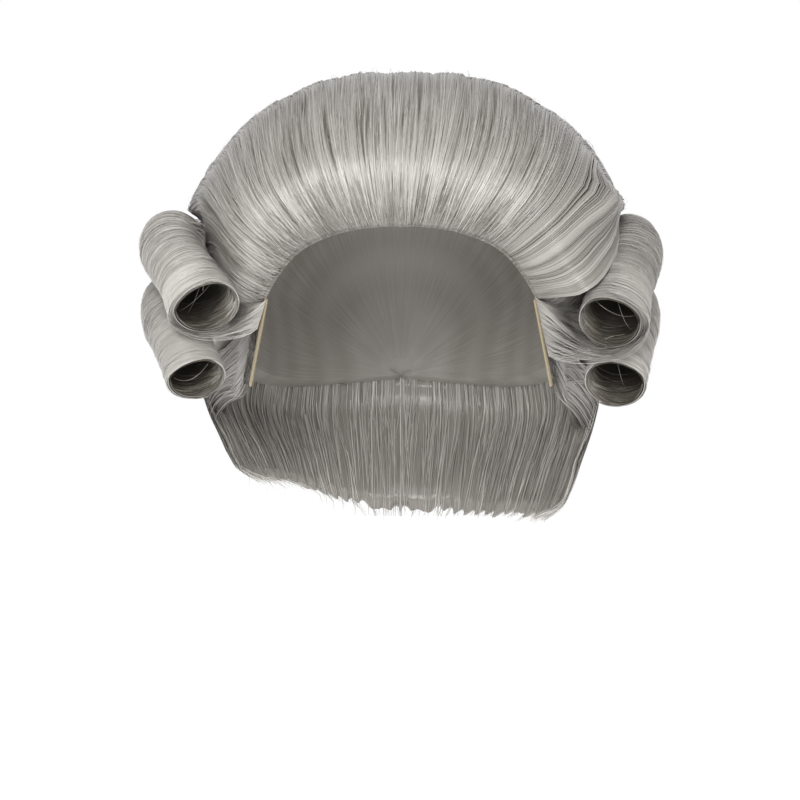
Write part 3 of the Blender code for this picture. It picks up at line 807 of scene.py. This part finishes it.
def curl_wall(curl, edges, tones):
    """The wound sheet as a closed wall: grooved outside, dark inside, thin at the mouth."""
    run = np.linspace(curl["first"], curl["last"], SHEET_ALONG)[None, :]
    root = -15 * read(curl["table"], "run", "root", run)
    wound = root + (CURL_WIND - root) * np.linspace(0, 1, SHEET_ROUND)[:, None]
    outer, _ = curl_sheet(curl, run, wound, ring_groove(curl, run, wound, edges))
    inner, _ = curl_sheet(curl, run, wound, sheet_depth(curl, run, wound))
    cell = cell_of(ring_place(run, wound), edges)
    # painted shade on the inner turns of the winding, and each curl's tone offset of painted light and shade
    tone = 0.54 + curl["painted_light"] + tones[cell] - 0.44 * ease((wound - 300) / 50)
    return wall_mesh(f"curl_wall_{curl['name']}", outer, inner, (run, wound / 400), tone,
                     bore_tone(curl, run, wound), wall_hair, bore_shade_hair, turned=curl["side"] > 0)


print(RING_CLUMPS, "rings on each curl")

# %% [markdown]
# Arcs of hair lie on the roll outside and inside. Outside, they are drawn to the middles of their rings.
# Inside, they fade into the dark within a finger's breadth of the mouth, and two hairs bow across the
# bore: a bare black hole would look like a pipe.

# %% Strands on and in a curl
CURL_STRANDS = 780
BORE_STRANDS = 260
STRAYS = 2


def curl_strands(curl, edges, tones, source):
    """Arcs round the sheet, drawn to the middles of their rings; every sixth keeps close to the mouth."""
    count, steps = CURL_STRANDS, 14
    run = source.uniform(curl["first"] + 0.003, curl["last"] - 0.004, count)
    run[::6] = curl["first"] + source.gamma(1.4, 0.008, len(run[::6]))
    begin = source.uniform(-10, 230, count)
    begin[::3] = source.uniform(-20, 40, len(begin[::3]))
    t = np.linspace(0, 1, steps)[None, :]
    wound = begin[:, None] + source.uniform(70, 190, (count, 1)) * t
    drift = source.normal(0, 0.010, (count, 1)) * (t - 0.5)
    run = np.clip(run[:, None] + drift, curl["first"] + 0.001, curl["last"])
    cell = cell_of(ring_place(run, wound)[:, steps // 2], edges)
    cell = np.minimum(cell, RING_CLUMPS - 1)[:, None]
    rise = source.gamma(2.0, 0.00013, (count, 1)) * np.sin(math.pi * np.clip(t, 0.03, 0.97)) ** 0.5
    groove = ring_groove(curl, run, wound, edges)
    paths, normals = curl_sheet(curl, run, wound, groove * 0.9 - rise - 0.0001)
    tilt = turned_by_chance(source, normals, 0.12)
    widths = source.uniform(0.00026, 0.00055, (count, 1)) * taper(t, 0.75, 4)
    # painted shade in the grooves and on the inner turns, and the curl's offset of painted light and shade
    tone = 0.66 + curl["painted_light"] + tones[cell] + source.normal(0, 0.07, (count, 1))
    tone = tone - 260 * groove - 0.4 * ease((wound - 300) / 50)
    return strand_mesh(f"curl_strands_{curl['name']}", paths, tilt, widths, tone, strand_hair)


def bore_strands(curl, source):
    """Arcs on the inside of the roll behind the mouth; some drift forward and cross its lip."""
    count = BORE_STRANDS
    t = np.linspace(0, 1, 14)[None, :]
    wound = source.uniform(60, 370, (count, 1)) + source.uniform(60, 160, (count, 1)) * t
    wound = np.minimum(wound, CURL_WIND - 2)
    run = curl["first"] + source.gamma(1.5, 0.018, (count, 1)) + source.normal(0, 0.016, (count, 1)) * t
    run = np.maximum(run, curl["first"] - 0.006)
    rise = source.gamma(2.0, 0.00018, (count, 1)) * np.sin(math.pi * t) + 0.0001
    paths, normals = curl_sheet(curl, run, wound, sheet_depth(curl, run, wound) + rise)
    widths = source.uniform(0.00025, 0.0006, (count, 1)) * taper(t, 0.8, 4)
    # painted light at the mouth that fades into painted shade inside the roll
    tones = 1.5 * bore_tone(curl, run, wound) + 0.06 + source.normal(0, 0.12, (count, 1))
    tilt = turned_by_chance(source, -normals, 0.25)
    return strand_mesh(f"bore_strands_{curl['name']}", paths, tilt, widths, tones, bore_shade_hair, 2)


def stray_hairs(curl, count, source):
    """Single fine hairs that bow across the bore a little behind the mouth."""
    inset = 0.0035
    t = np.linspace(0, 1, 15)[None, :, None]
    run = curl["first"] + source.uniform(0.01, 0.06, count)
    here = source.uniform(40, 140, count)
    start, _ = curl_sheet(curl, run, here, inset)
    run = run + source.uniform(-0.02, 0.05, count)
    end, _ = curl_sheet(curl, run, here + source.uniform(110, 170, count), inset)
    bow = np.array([0.0, -0.003, -0.004]) * source.uniform(0.3, 1.6, (count, 1))
    paths = start[:, None] * (1 - t) + end[:, None] * t + 4 * t * (1 - t) * bow[:, None]
    normals = np.broadcast_to(np.array([0.0, -1.0, 0.2]), paths.shape)
    # their very dark tone is painted shade inside the bore
    return strand_mesh(f"stray_hairs_{curl['name']}", paths, normals, 0.00018, 0.10, strand_hair, 2)


for number, curl in enumerate(CURLS.values()):
    curl_rng = np.random.default_rng(40 + number)
    edges = jittered_edges(RING_CLUMPS, 0.4, curl_rng) * 1.2 - 0.1
    tones = curl_rng.normal(0, 0.06, RING_CLUMPS + 2)
    wall = curl_wall(curl, edges, tones)
    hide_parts(f"curl_{curl['name']}")
    dress("curl_hair", wall, curl_strands(curl, edges, tones, curl_rng), bore_strands(curl, curl_rng),
          stray_hairs(curl, STRAYS, curl_rng))

# %% [markdown]
# A sheet of hair comes from each temple, passes under the upper mouth and turns up round its outer side.
# Its strands are cubic curves from the edge of the face to the roll, then arcs on the roll, so that the
# sheet leaves and arrives in the right directions without a kink.

# %% The temple sheets
def bridge_between(origin, leave, joint, arrive, t):
    """Cubic curves from origin to joint with the directions given at both ends."""
    return (origin[:, None] * (2 * t**3 - 3 * t**2 + 1) + leave[:, None] * (t**3 - 2 * t**2 + t)
            + joint[:, None] * (-2 * t**3 + 3 * t**2) + arrive[:, None] * (t**3 - t**2))


def temple_band(name, curl, band, count, seed):
    """Strands from a line at the temple that join the roll below its mouth and wind round it."""
    source = np.random.default_rng(seed)
    top, low = np.array(band["top"]), np.array(band["low"])
    share = source.uniform(0, 1, count) ** 0.9
    layer = source.uniform(0, 1, count)
    origin = top + (low - top) * share[:, None]
    origin[:, 1] += 0.004 * (1 - layer)
    run = band["run"][0] + (band["run"][1] - band["run"][0]) * (1 - layer) + source.normal(0, 0.003, count)
    meet = source.uniform(-8, 22, count) + 24 * share
    lift = 0.0004 + band["thick"] * share * layer
    joint, normal = curl_sheet(curl, run, meet, -lift)
    beyond, _ = curl_sheet(curl, run, meet + 5, -lift)
    arrive = unit(beyond - joint) * band["sweep"]
    leave = np.array(band["leave"]) * (1 + 0.12 * source.normal(0, 1, (count, 1)))
    t = np.linspace(0, 1, 8)[None, :, None]
    bridge = bridge_between(origin, leave, joint, arrive, t)
    wind = np.linspace(0.05, 1, 12)[None, :]
    wound = meet[:, None] + source.uniform(90, 200, (count, 1)) * wind
    arc, arc_normal = curl_sheet(curl, run[:, None] + 0.03 * wind * layer[:, None], wound,
                                 -lift[:, None] * (1 - 0.8 * wind**2))
    paths = np.concatenate([bridge, arc], axis=1)
    facing = unit(np.array([curl["side"] * 0.2, -1.0, -0.5]))
    normals = np.concatenate([unit(facing * (1 - t) + normal[:, None] * t), arc_normal], axis=1)
    along = np.linspace(0, 1, paths.shape[1])[None, :]
    widths = source.uniform(0.0003, 0.0007, (count, 1)) * taper(along, 0.7, 6)
    # painted shade: the under layers are darker than the top ones; the curl's offset adds painted light and
    # shade
    tones = 0.66 + 0.9 * curl["painted_light"] + 0.12 * layer[:, None] + source.normal(0, 0.08, (count, 1))
    return strand_mesh(name, paths, turned_by_chance(source, normals, 0.12), widths, tones, strand_hair)


BANDS = {
    "left": {"top": (-0.0640, -0.0590, -0.0740), "low": (-0.0685, -0.0540, -0.0880), "run": (-0.005, 0.10),
             "leave": (-0.014, -0.014, -0.016), "sweep": 0.030, "thick": 0.0030, "strands": 480},
    "right": {"top": (0.0640, -0.0590, -0.0730), "low": (0.0708, -0.0480, -0.1010), "run": (-0.01, 0.14),
              "leave": (0.018, -0.018, -0.018), "sweep": 0.036, "thick": 0.0045, "strands": 580},
}
print("temple sheets of", [band["strands"] for band in BANDS.values()], "strands")

# %% [markdown]
# Where a curl hangs close to the dome, a slit of light would show between them. On the real wig short
# hairs of the dome run over into the curl there. These start inside the dome and end inside the roll.

# %% Hairs between the dome and a curl
FILLING = 420


def side_filling(name, curl, count, seed):
    """Cubic curves from the dome's tucked side over to the top of a curl, sunk at both ends."""
    source = np.random.default_rng(seed)
    run = source.uniform(curl["first"] + 0.12, curl["last"], count)
    joint, _ = curl_sheet(curl, run, source.uniform(222, 290, count), 0.0008)
    beyond, _ = curl_sheet(curl, run, 215.0)
    origin = joint.copy()
    origin[:, 0] = curl["side"] * (SIDE_REACH - 0.0030)
    origin[:, 2] -= source.uniform(0.003, 0.012, count)
    origin[:, 1] += source.uniform(0.0, 0.006, count)
    t = np.linspace(0, 1, 6)[None, :, None]
    leave = np.tile([curl["side"] * 0.004, 0.0, 0.010], (count, 1))
    paths = bridge_between(origin, leave, joint, unit(beyond - joint) * 0.010, t)
    normals = np.broadcast_to(np.array([0.0, -0.6, 0.8]), paths.shape)
    # painted shade: darkest deep in the seam, lighter towards the curl
    tones = 0.34 + source.normal(0, 0.08, (count, 1)) + 0.20 * t[:, :, 0]
    return strand_mesh(name, paths, normals, 0.0006, tones, strand_hair, 2)


print(FILLING, "hairs fill each seam")

# %% [markdown]
# The last lock on the right is a thin sheet with a free edge: it swings out over the upper curl and lies
# down on the dome again behind it. Moving the dome's own paths towards that edge keeps the comb's
# direction in the lock, and a drawn outline alone would not.

# %% The lock over the right curl
LOCK_EDGE = {               # free edge of the lock, from the temple up over the curl
    "way": [0, 0.20, 0.35, 0.46, 0.57, 0.67, 0.76, 0.86, 1.0],
    "x": [0.0655, 0.0786, 0.0864, 0.0936, 0.0993, 0.1043, 0.1067, 0.1065, 0.1040],
    "y": [-0.0590, -0.0700, -0.0750, -0.0735, -0.0650, -0.0540, -0.0420, -0.0260, 0.0000],
    "z": [-0.0735, -0.0725, -0.0710, -0.0660, -0.0578, -0.0479, -0.0392, -0.0330, -0.0300],
}
LOCK_STRANDS = 400
LOCK_FROM, LOCK_WIDTH = 56, 30      # degrees round the comb axis: the inner side, and how broad it is
SMOOTHING = 12                      # this many neighbouring strands share one sideways direction


def side_lock(name, count, seed):
    """A sheet of strands between the dome and a free edge: each dome path is moved by its share of the
    way from the outermost dome path to that edge. Its far end settles onto the dome and sinks into it."""
    source = np.random.default_rng(seed)
    share = np.sort(source.uniform(0, 1, count) ** 0.8)[:, None]
    t = np.linspace(0, 1, 17)[None, :]
    along = 0.004 + 0.47 * t**1.2
    on_dome = dome(combed(np.radians(LOCK_FROM + LOCK_WIDTH * share), along), along)
    last = dome(combed(np.radians(LOCK_FROM + LOCK_WIDTH), along), along)
    edge = np.stack([read(LOCK_EDGE, "way", column, t) for column in "xyz"], -1)
    moved = on_dome + (edge - last) * (share**1.4)[..., None]
    height, facing = over_dome(moved, np.linspace(20, 94, 76), np.linspace(0.0, 0.66, 90))
    settled = np.maximum(height, 0.0003) * (1 - ease((t - 0.62) / 0.26)) - 0.0016 * ease((t - 0.80) / 0.20)
    moved = moved + facing * (settled - height)[..., None]
    across = np.gradient(moved[::SMOOTHING], axis=0).repeat(SMOOTHING, axis=0)[:count]
    normals = unit(np.cross(np.gradient(moved, axis=1), across))
    normals = normals * np.where(normals[..., 1:2] > 0, -1, 1)
    lift = source.uniform(-0.0007, 0.0008, (count, 1)) * np.sin(math.pi * t) * (1 - ease((t - 0.6) / 0.3))
    paths = moved + normals * (lift + 0.0004)[..., None]
    widths = source.uniform(0.0003, 0.0007, (count, 1)) * taper(t, 0.7, 5)
    tones = 0.36 + 0.06 * np.sin(44 * share + 3 * t) + source.normal(0, 0.10, (count, 1))
    # painted shade near the temple, where the lock leaves the hairline
    tones = tones - 0.22 * (1 - ease(t / 0.25))
    return strand_mesh(name, paths, turned_by_chance(source, normals, 0.14), widths, tones, strand_hair)


dress("crown_hair", side_lock("side_lock_right", LOCK_STRANDS, 77))
for number, (side_name, band) in enumerate(BANDS.items()):
    curl = CURLS[f"upper_{side_name}"]
    sheet = temple_band(f"temple_sheet_{side_name}", curl, band, band["strands"], 60 + number)
    dress("curl_hair", sheet, side_filling(f"side_filling_{side_name}", curl, FILLING, 70 + number))

# %% [markdown]
# Below the dome the short hair of the nape falls behind the ears. Its top edge follows the dome's lower
# edge, and its ends thin out and turn in a little. It is a function again: round the neck, and down.

# %% The form of the nape
NAPE_LENGTH = 0.182
NAPE_LEFT_RISE = 0.020
NAPE_START = 0.016
NAPE_WALL = 0.0085
NAPE_TUCK = 0.006           # the top of the nape runs this far up behind the dome's edge
NAPE_FALL = {
    "fall": [0, 0.18, 0.40, 0.62, 0.82, 0.94, 1],
    "width": [1, 1.02, 0.985, 0.925, 0.870, 0.815, 0.745],
    "back": [1, 0.985, 0.930, 0.855, 0.800, 0.765, 0.725],
    "wall": [1, 1.10, 1.15, 1.15, 1.05, 0.80, 0.35],
}
edge_line = dome(np.full(400, CROWN_EDGE), np.linspace(0, 1, 400))
edge_line = edge_line[np.argsort(edge_line[:, 1])]
nape_from = math.asin(NAPE_START / CROWN_BACK)


def nape(around, fall, inside=0.0):
    """Points of the nape and its outward directions: `around` goes from -1 at the left ear over 0 at the
    back to 1 at the right. The front edge is curved by a sine of the fall."""
    around, fall, inside = np.broadcast_arrays(around, fall, inside)
    turn = nape_from + (math.pi / 2 - nape_from) * (1 - np.abs(around))
    y = CROWN_BACK * np.sin(turn)
    x = np.sign(around) * np.interp(y, edge_line[:, 1], edge_line[:, 0]) * ease(np.abs(around) * 8) ** 0.5
    high = np.interp(y, edge_line[:, 1], edge_line[:, 2]) - 3 * GAP
    width = read(NAPE_FALL, "fall", "width", fall)
    back = read(NAPE_FALL, "fall", "back", fall)
    behind = ease(y / CROWN_BACK)
    low = -NAPE_LENGTH + NAPE_LEFT_RISE * ease(-x / SIDE_REACH)
    out = unit(np.stack([x / SIDE_REACH**2, y / CROWN_BACK**2, 0 * x], -1))
    under = 1 - ease(fall / 0.05)
    y = y - (0.008 * np.sin(math.pi * fall) - 0.007 * fall**3) * np.abs(around) ** 5
    points = np.stack([x * width, y * (back * behind + (1 - behind) * (1 - 0.35 * (1 - width))),
                       high + (low - high) * fall + NAPE_TUCK * under], -1)
    return points - out * (inside + 0.0014 * under)[..., None], out


def nape_dent(around, fall):
    """Five locks a side and fine clumps, as depth below the nape's round."""
    broad = 1 - np.abs(np.sin(5 * math.pi * around + 0.3 * np.sin(5 * fall))) ** 0.6
    narrow = 1 - np.abs(np.sin(47 * math.pi * around + 1.5 * np.sin(3 * fall + 9 * around))) ** 0.6
    return 0.0022 * broad * np.sin(math.pi * fall**1.4 * 0.85) + 0.0007 * narrow


def nape_thickness(around, fall):
    """The wall of hair by the table's shares, thinned to an eighth at its front edges."""
    thin = 0.12 + 0.88 * ease((1 - np.abs(around)) / 0.22)
    return NAPE_WALL * read(NAPE_FALL, "fall", "wall", fall) * thin


print("the nape ends", round(NAPE_LENGTH * 1000), "mm below the top of the head")

# %% [markdown]
# The nape's wall ends in a ragged line, and its strands pass that line by a few millimetres. Strands lie
# on both faces, because the inner face shows below the head's hollow.

# %% The nape's wall and strands
NAPE_ROUND, NAPE_DOWN = 211, 34
NAPE_STRANDS = 1350
NAPE_INNER_STRANDS = 700


def nape_wall():
    """Outer and inner face of the nape, closed, with a ragged lower edge."""
    around = np.linspace(-1, 1, NAPE_ROUND)[:, None]
    fall = np.linspace(0, 1, NAPE_DOWN)[None, :]
    notch = 0.5 * np.abs(np.sin(17 * around + 2 * np.sin(9 * around))) + 0.5 * np.abs(np.sin(53 * around))
    ragged = fall * (1 - 0.09 * notch * fall**4)
    outer, _ = nape(around, ragged, nape_dent(around, fall))
    inner, _ = nape(around, ragged, nape_thickness(around, fall))
    # painted shade in the grooves of the locks, and on the inner face towards the neck (0.2)
    tone = 0.54 + 0.04 * np.sin(31 * around) - 0.25 * nape_dent(around, fall) / 0.002
    return wall_mesh("nape_wall", outer, inner, (around * 0.5, fall * 0.5), tone, 0.2, wall_hair)


def falls(count, steps, from_the_top, end, spread):
    """Way down of each strand: a share of them sets out at the top, the others farther down."""
    first = np.where(rng.random((count, 1)) < from_the_top, 0.0, rng.uniform(0, 0.6, (count, 1)))
    last = np.minimum(first + rng.uniform(0.35, 1.0, (count, 1)), rng.normal(end, spread, (count, 1)))
    t = np.linspace(0, 1, steps)[None, :]
    return t, first + (last - first) * t


def nape_strands(count):
    """Strands that start under the dome's edge and fall past the wall's end, turned in at the tips."""
    around = rng.uniform(-1, 1, count)
    around[::3] = np.sign(around[::3]) * (1 - rng.gamma(1.5, 0.05, len(around[::3])))
    around = around[:, None]
    t, fall = falls(count, 10, 0.5, 1.01, 0.04)
    sway = around + rng.normal(0, 0.02, (count, 1)) * t + 0.006 * np.sin(6 * t + 40 * around)
    sway = np.clip(sway, -1, 1)
    rise = rng.gamma(2.0, 0.00022, (count, 1)) * np.sin(math.pi * np.clip(t, 0.02, 1) * 0.8)
    paths, out = nape(sway, fall, nape_dent(sway, fall) - rise - 0.0001)
    beyond = np.maximum(fall - 0.92, 0)[..., None]
    paths = paths - out * beyond * rng.normal(0.05, 0.03, (count, 1, 1))
    widths = rng.uniform(0.0003, 0.00065, (count, 1)) * (1 - 0.8 * t**4)
    # painted light: the outer sides by the ears are lightened against their shadow
    tones = 0.68 + rng.normal(0, 0.14, (count, 1)) + 0.20 * np.abs(sway) ** 6
    return strand_mesh("nape_strands", paths, turned_by_chance(rng, out, 0.35), widths, tones, strand_hair)


def nape_inner_strands(count):
    """Strands on the side that faces the neck."""
    around = rng.uniform(-0.97, 0.97, (count, 1))
    t, fall = falls(count, 9, 0.6, 0.99, 0.03)
    sway = np.clip(around + rng.normal(0, 0.02, (count, 1)) * t, -1, 1)
    rise = 0.0004 + rng.gamma(2, 0.0003, (count, 1)) * np.sin(math.pi * t * 0.8)
    paths, out = nape(sway, fall, nape_thickness(sway, fall) + rise)
    widths = rng.uniform(0.0003, 0.0007, (count, 1)) * (1 - 0.8 * t**4)
    # painted shade on the side that faces the neck
    tones = 0.36 + rng.normal(0, 0.11, (count, 1)) + 0.10 * t
    return strand_mesh("nape_inner_strands", paths, turned_by_chance(rng, -out, 0.25), widths, tones,
                       strand_hair)


nape_piece = nape_wall()
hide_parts("nape_hair")
dress("nape_hair", nape_piece, nape_strands(NAPE_STRANDS), nape_inner_strands(NAPE_INNER_STRANDS))

# %% [markdown]
# All paths of the dome meet in one point at the back, where a real wig hides the sewn end of its rows
# under hair that hangs straight. So do these strands: they leave the dome above its lower edge, hang over
# the meeting point and end on the nape.

# %% Hair that falls over the dome's lower edge
def back_fall(count):
    """Vertical lines laid onto the dome, then lines of the nape: the height over the dome is taken off
    along the dome's normal."""
    around = np.clip(rng.normal(0, 0.42, count), -0.93, 0.93)[:, None]
    t = np.linspace(0, 1, 7)[None, :]
    above = np.clip(rng.gamma(1.8, 0.010, (count, 1)), 0.002, 0.055) * (1 - 0.6 * np.abs(around))
    sway = around + rng.normal(0, 0.012, (count, 1)) * t
    hanging, _ = nape(sway, 0.05)
    hanging[..., 2] += above * (1 - t)
    height, facing = over_dome(hanging, np.linspace(-95, 95, 120), np.linspace(0.55, 0.995, 60))
    lift = 0.0002 + 0.0012 * t - 0.0010 * (1 - ease(t / 0.3))
    upper = hanging + facing * (lift - height)[..., None]
    fall = 0.07 + rng.uniform(0.10, 0.50, (count, 1)) * np.linspace(0, 1, 6)[None, :]
    end = sway[:, -1:]
    lower, out_low = nape(end, fall, nape_dent(end, fall) - 0.0012 * (1 - fall))
    paths = np.concatenate([upper, lower], axis=1)
    normals = np.concatenate([facing, out_low], axis=1)
    along = np.linspace(0, 1, paths.shape[1])[None, :]
    widths = rng.uniform(0.0003, 0.0007, (count, 1)) * taper(along, 0.85, 3)
    tones = 0.24 + 0.40 * along + rng.normal(0, 0.08, (count, 1))
    return strand_mesh("back_fall", paths, turned_by_chance(rng, normals, 0.2), widths, tones, strand_hair)


dress("nape_hair", back_fall(620))

# %% [markdown]
# In front of each ear, hair hangs from the cap's edge, passes behind the curls and joins the nape. It is
# loose and thin, so light comes through it, and a closed wall there would look like felt.

# %% Hair that falls from the temples
UNDER_SHARE = 0.35          # this share of the strands goes under the others and farther back


def temple_fall(name, side, count):
    """Strands from the tape past the ear, under the dome's edge, onto the nape and down it."""
    share = 0.01 + 0.99 * (np.arange(count) + rng.random(count)) / count
    origin = temple_line(side, share)
    outward = rng.uniform(0.0, 1.0, count)
    origin += outward[:, None] * np.array([side * 0.004, 0.0, 0.0]) + np.array([side * 0.0012, 0.002, 0.0])
    under = rng.random(count) < UNDER_SHARE
    around = side * np.where(under, 1 - 0.30 * outward, 1 - 0.14 * outward)
    reach = (np.where(under, 0.0, 0.20) + 0.26 * share + rng.normal(0, 0.02, count))[:, None]
    fall = reach + (rng.uniform(0.6, 1.02, (count, 1)) - reach) * np.linspace(0, 1, 7)[None, :]
    down, out = nape(around[:, None], fall, -0.0004 - 0.0012 * rng.random((count, 1)))
    t = np.linspace(0, 1, 9)[None, :-1, None]
    leave = np.array([side * 0.012, 0.016, -0.030]) * (1 + 0.06 * rng.normal(0, 1, (count, 1)))
    leave[:, 0] *= 0.15 + 1.2 * outward
    arrive = np.tile([side * 0.016, 0.022, -0.050], (count, 1))
    paths = np.concatenate([bridge_between(origin, leave, down[:, 0], arrive, t), down], axis=1)
    facing = np.broadcast_to(unit(np.array([side * 0.9, -0.4, 0.0])), (count, t.shape[1], 3))
    tilt = turned_by_chance(rng, np.concatenate([facing, out], axis=1), 0.10)
    way_down = np.linspace(0, 1, paths.shape[1])[None, :]
    widths = rng.uniform(0.0004, 0.0009, (count, 1)) * (1 - 0.8 * way_down**5)
    # painted shade: darker at the temple and for the strands that go under, lighter down the nape
    tones = 0.24 - 0.12 * under[:, None] + 0.42 * way_down + rng.normal(0, 0.09, (count, 1))
    return strand_mesh(name, paths, tilt, widths, tones, strand_hair)


dress("nape_hair", temple_fall("temple_fall_left", -1, 450), temple_fall("temple_fall_right", 1, 460))

# %% [markdown]
# A woven beige tape edges the cap in front of each ear. It is a thin strip with rounded edges, swept
# along the temple's line. At this size a checker of two threads is all that shows of the weave.

# %% The edge tapes
TAPE_WIDTH = 0.0024
TAPE_THICKNESS = 0.0012
TAPE_STEPS, TAPE_SIDES = 60, 16


def tape_finish():
    """Matt woven beige: a checker on the UV map feeds colour and bump."""
    material = new_finish("edge_tape", {"Roughness": 0.85, "Sheen Weight": 0.3})
    link = material.node_tree.links.new
    shader = material.node_tree.nodes["Principled BSDF"]
    place = add_node(material, "UVMap")
    place.uv_map = "hair"
    stretch = add_node(material, "Mapping", Scale=(8, 130, 1))
    weave = add_node(material, "TexChecker", Scale=1.0, Color1=(0.35, 0.285, 0.165, 1),
                     Color2=(0.22, 0.175, 0.095, 1))
    relief = add_node(material, "Bump", Distance=0.0003)
    link(place.outputs["UV"], stretch.inputs["Vector"])
    link(stretch.outputs["Vector"], weave.inputs["Vector"])
    link(weave.outputs["Color"], shader.inputs["Base Color"])
    link(weave.outputs["Fac"], relief.inputs["Height"])
    link(relief.outputs["Normal"], shader.inputs["Normal"])
    return material


def tape(name, side, material):
    """A strip along the temple's line whose section is a rounded rectangle, a power of a circle."""
    share = np.linspace(0, 1, TAPE_STEPS)
    path = temple_line(side, share)
    out = unit(path * np.array([HEAD_HALF_WIDTH**-2, HEAD_HALF_LENGTH**-2, 0.0]))
    across = np.cross(out, unit(np.gradient(path, axis=0)))
    turn = np.linspace(0, 2 * math.pi, TAPE_SIDES + 1)[:-1]
    wide = np.sign(np.cos(turn)) * np.abs(np.cos(turn)) ** 0.4 * TAPE_WIDTH / 2
    thick = (np.sign(np.sin(turn)) * np.abs(np.sin(turn)) ** 0.5 * 0.5 + 0.5) * TAPE_THICKNESS + GAP
    rings = path[:, None] + across[:, None] * wide[:, None] + out[:, None] * thick[:, None]
    index = np.arange(TAPE_STEPS * TAPE_SIDES).reshape(TAPE_STEPS, TAPE_SIDES)
    after = np.roll(index, -1, axis=1)
    quads = np.stack([index[:-1], after[:-1], after[1:], index[1:]], -1).reshape(-1, 4)
    uv = np.stack(np.broadcast_arrays(np.arange(TAPE_SIDES) / TAPE_SIDES, share[:, None]), -1)
    caps = []
    for ring in (index[0], index[-1, ::-1]):
        caps += [[ring[k], ring[-1 - k], ring[-2 - k], ring[k + 1]] for k in range(TAPE_SIDES // 2 - 1)]
    return add_mesh(name, rings.reshape(-1, 3), np.concatenate([quads, np.array(caps)]),
                    uv.reshape(-1, 2), np.full(index.size, 0.5), material)


tape_material = tape_finish()
for side_name, side in (("left", -1), ("right", 1)):
    strip = tape(f"tape_{side_name}", side, tape_material)
    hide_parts(f"edge_tape_{side_name}")
    dress("edge_tape", strip)

# %% [markdown]
# The stage is a pale floor under soft studio light. One large lamp in front and a little to the left
# makes the bright band on the roll, a weak one opens the shadows on the right, and one above rounds the
# dome. Behind everything the world is white to the camera and a little darker as a light.

# %% Floor and light
FLOOR_LEVEL = -0.42
FLOOR_REACH = 8
WORLD_LIGHT = 0.72
AIM = (0, 0, -0.06)


def area_light(name, place, target, size, power):
    """A square soft light at a place, turned to a target."""
    lamp = bpy.data.lights.new(name, "AREA")
    lamp.size = size
    lamp.energy = power
    holder = bpy.data.objects.new(name, lamp)
    holder.location = place
    holder.rotation_euler = (Vector(target) - Vector(place)).to_track_quat("-Z", "Y").to_euler()
    bpy.context.scene.collection.objects.link(holder)


floor_mesh = bpy.data.meshes.new("floor")
corners = [(x * FLOOR_REACH, y * FLOOR_REACH, FLOOR_LEVEL) for x, y in ((-1, -1), (1, -1), (1, 1), (-1, 1))]
floor_mesh.from_pydata(corners, [], [(0, 1, 2, 3)])
floor_mesh.materials.append(new_finish("floor", {"Base Color": (0.9, 0.9, 0.9, 1), "Roughness": 0.9,
                                                 "Emission Color": (1, 1, 1, 1), "Emission Strength": 0.6}))
floor = bpy.data.objects.new("floor", floor_mesh)
bpy.context.scene.collection.objects.link(floor)

area_light("key", (-0.25, -1.75, 0.48), AIM, 0.6, 26)
area_light("fill", (1.6, -1.2, 0.1), (0, 0, -0.08), 1.2, 3.5)
area_light("top", (0.0, 0.3, 1.5), (0, 0, 0), 1.4, 3)

world = bpy.data.worlds.new("world")
world.use_nodes = True
sky = world.node_tree.nodes["Background"]
sky.inputs["Color"].default_value = (1, 1, 1, 1)
seen = world.node_tree.nodes.new("ShaderNodeLightPath")
strength = world.node_tree.nodes.new("ShaderNodeMath")
strength.operation = "MULTIPLY_ADD"
strength.inputs[1].default_value = 1 - WORLD_LIGHT
strength.inputs[2].default_value = WORLD_LIGHT
world.node_tree.links.new(seen.outputs["Is Camera Ray"], strength.inputs[0])
world.node_tree.links.new(strength.outputs["Value"], sky.inputs["Strength"])
bpy.context.scene.world = world
bpy.context.scene.view_settings.view_transform = "Standard"
print("lights set")

# %% [markdown]
# The camera looks level at the front of the wig from nearly two metres away, as a portrait lens does, so
# the near curls look only a little larger than the far hair.

# %% Camera
lens = bpy.data.cameras.new("camera")
lens.lens = 174
lens.sensor_width = 36
lens.shift_x = -0.001
camera = bpy.data.objects.new("camera", lens)
camera.location = (0, -1.9, -0.122)
camera.rotation_euler = (math.radians(90), 0, 0)
bpy.context.scene.collection.objects.link(camera)
bpy.context.scene.camera = camera
print("camera", round(-camera.location.y, 2), "m away, with a lens of", lens.lens, "mm")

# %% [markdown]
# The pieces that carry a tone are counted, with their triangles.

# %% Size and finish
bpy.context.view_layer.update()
shown = [piece for piece in bpy.context.scene.objects
         if piece.type == "MESH" and "tone" in piece.data.attributes]
print(len(shown), "pieces,", sum(len(piece.data.polygons) for piece in shown) * 2, "triangles")
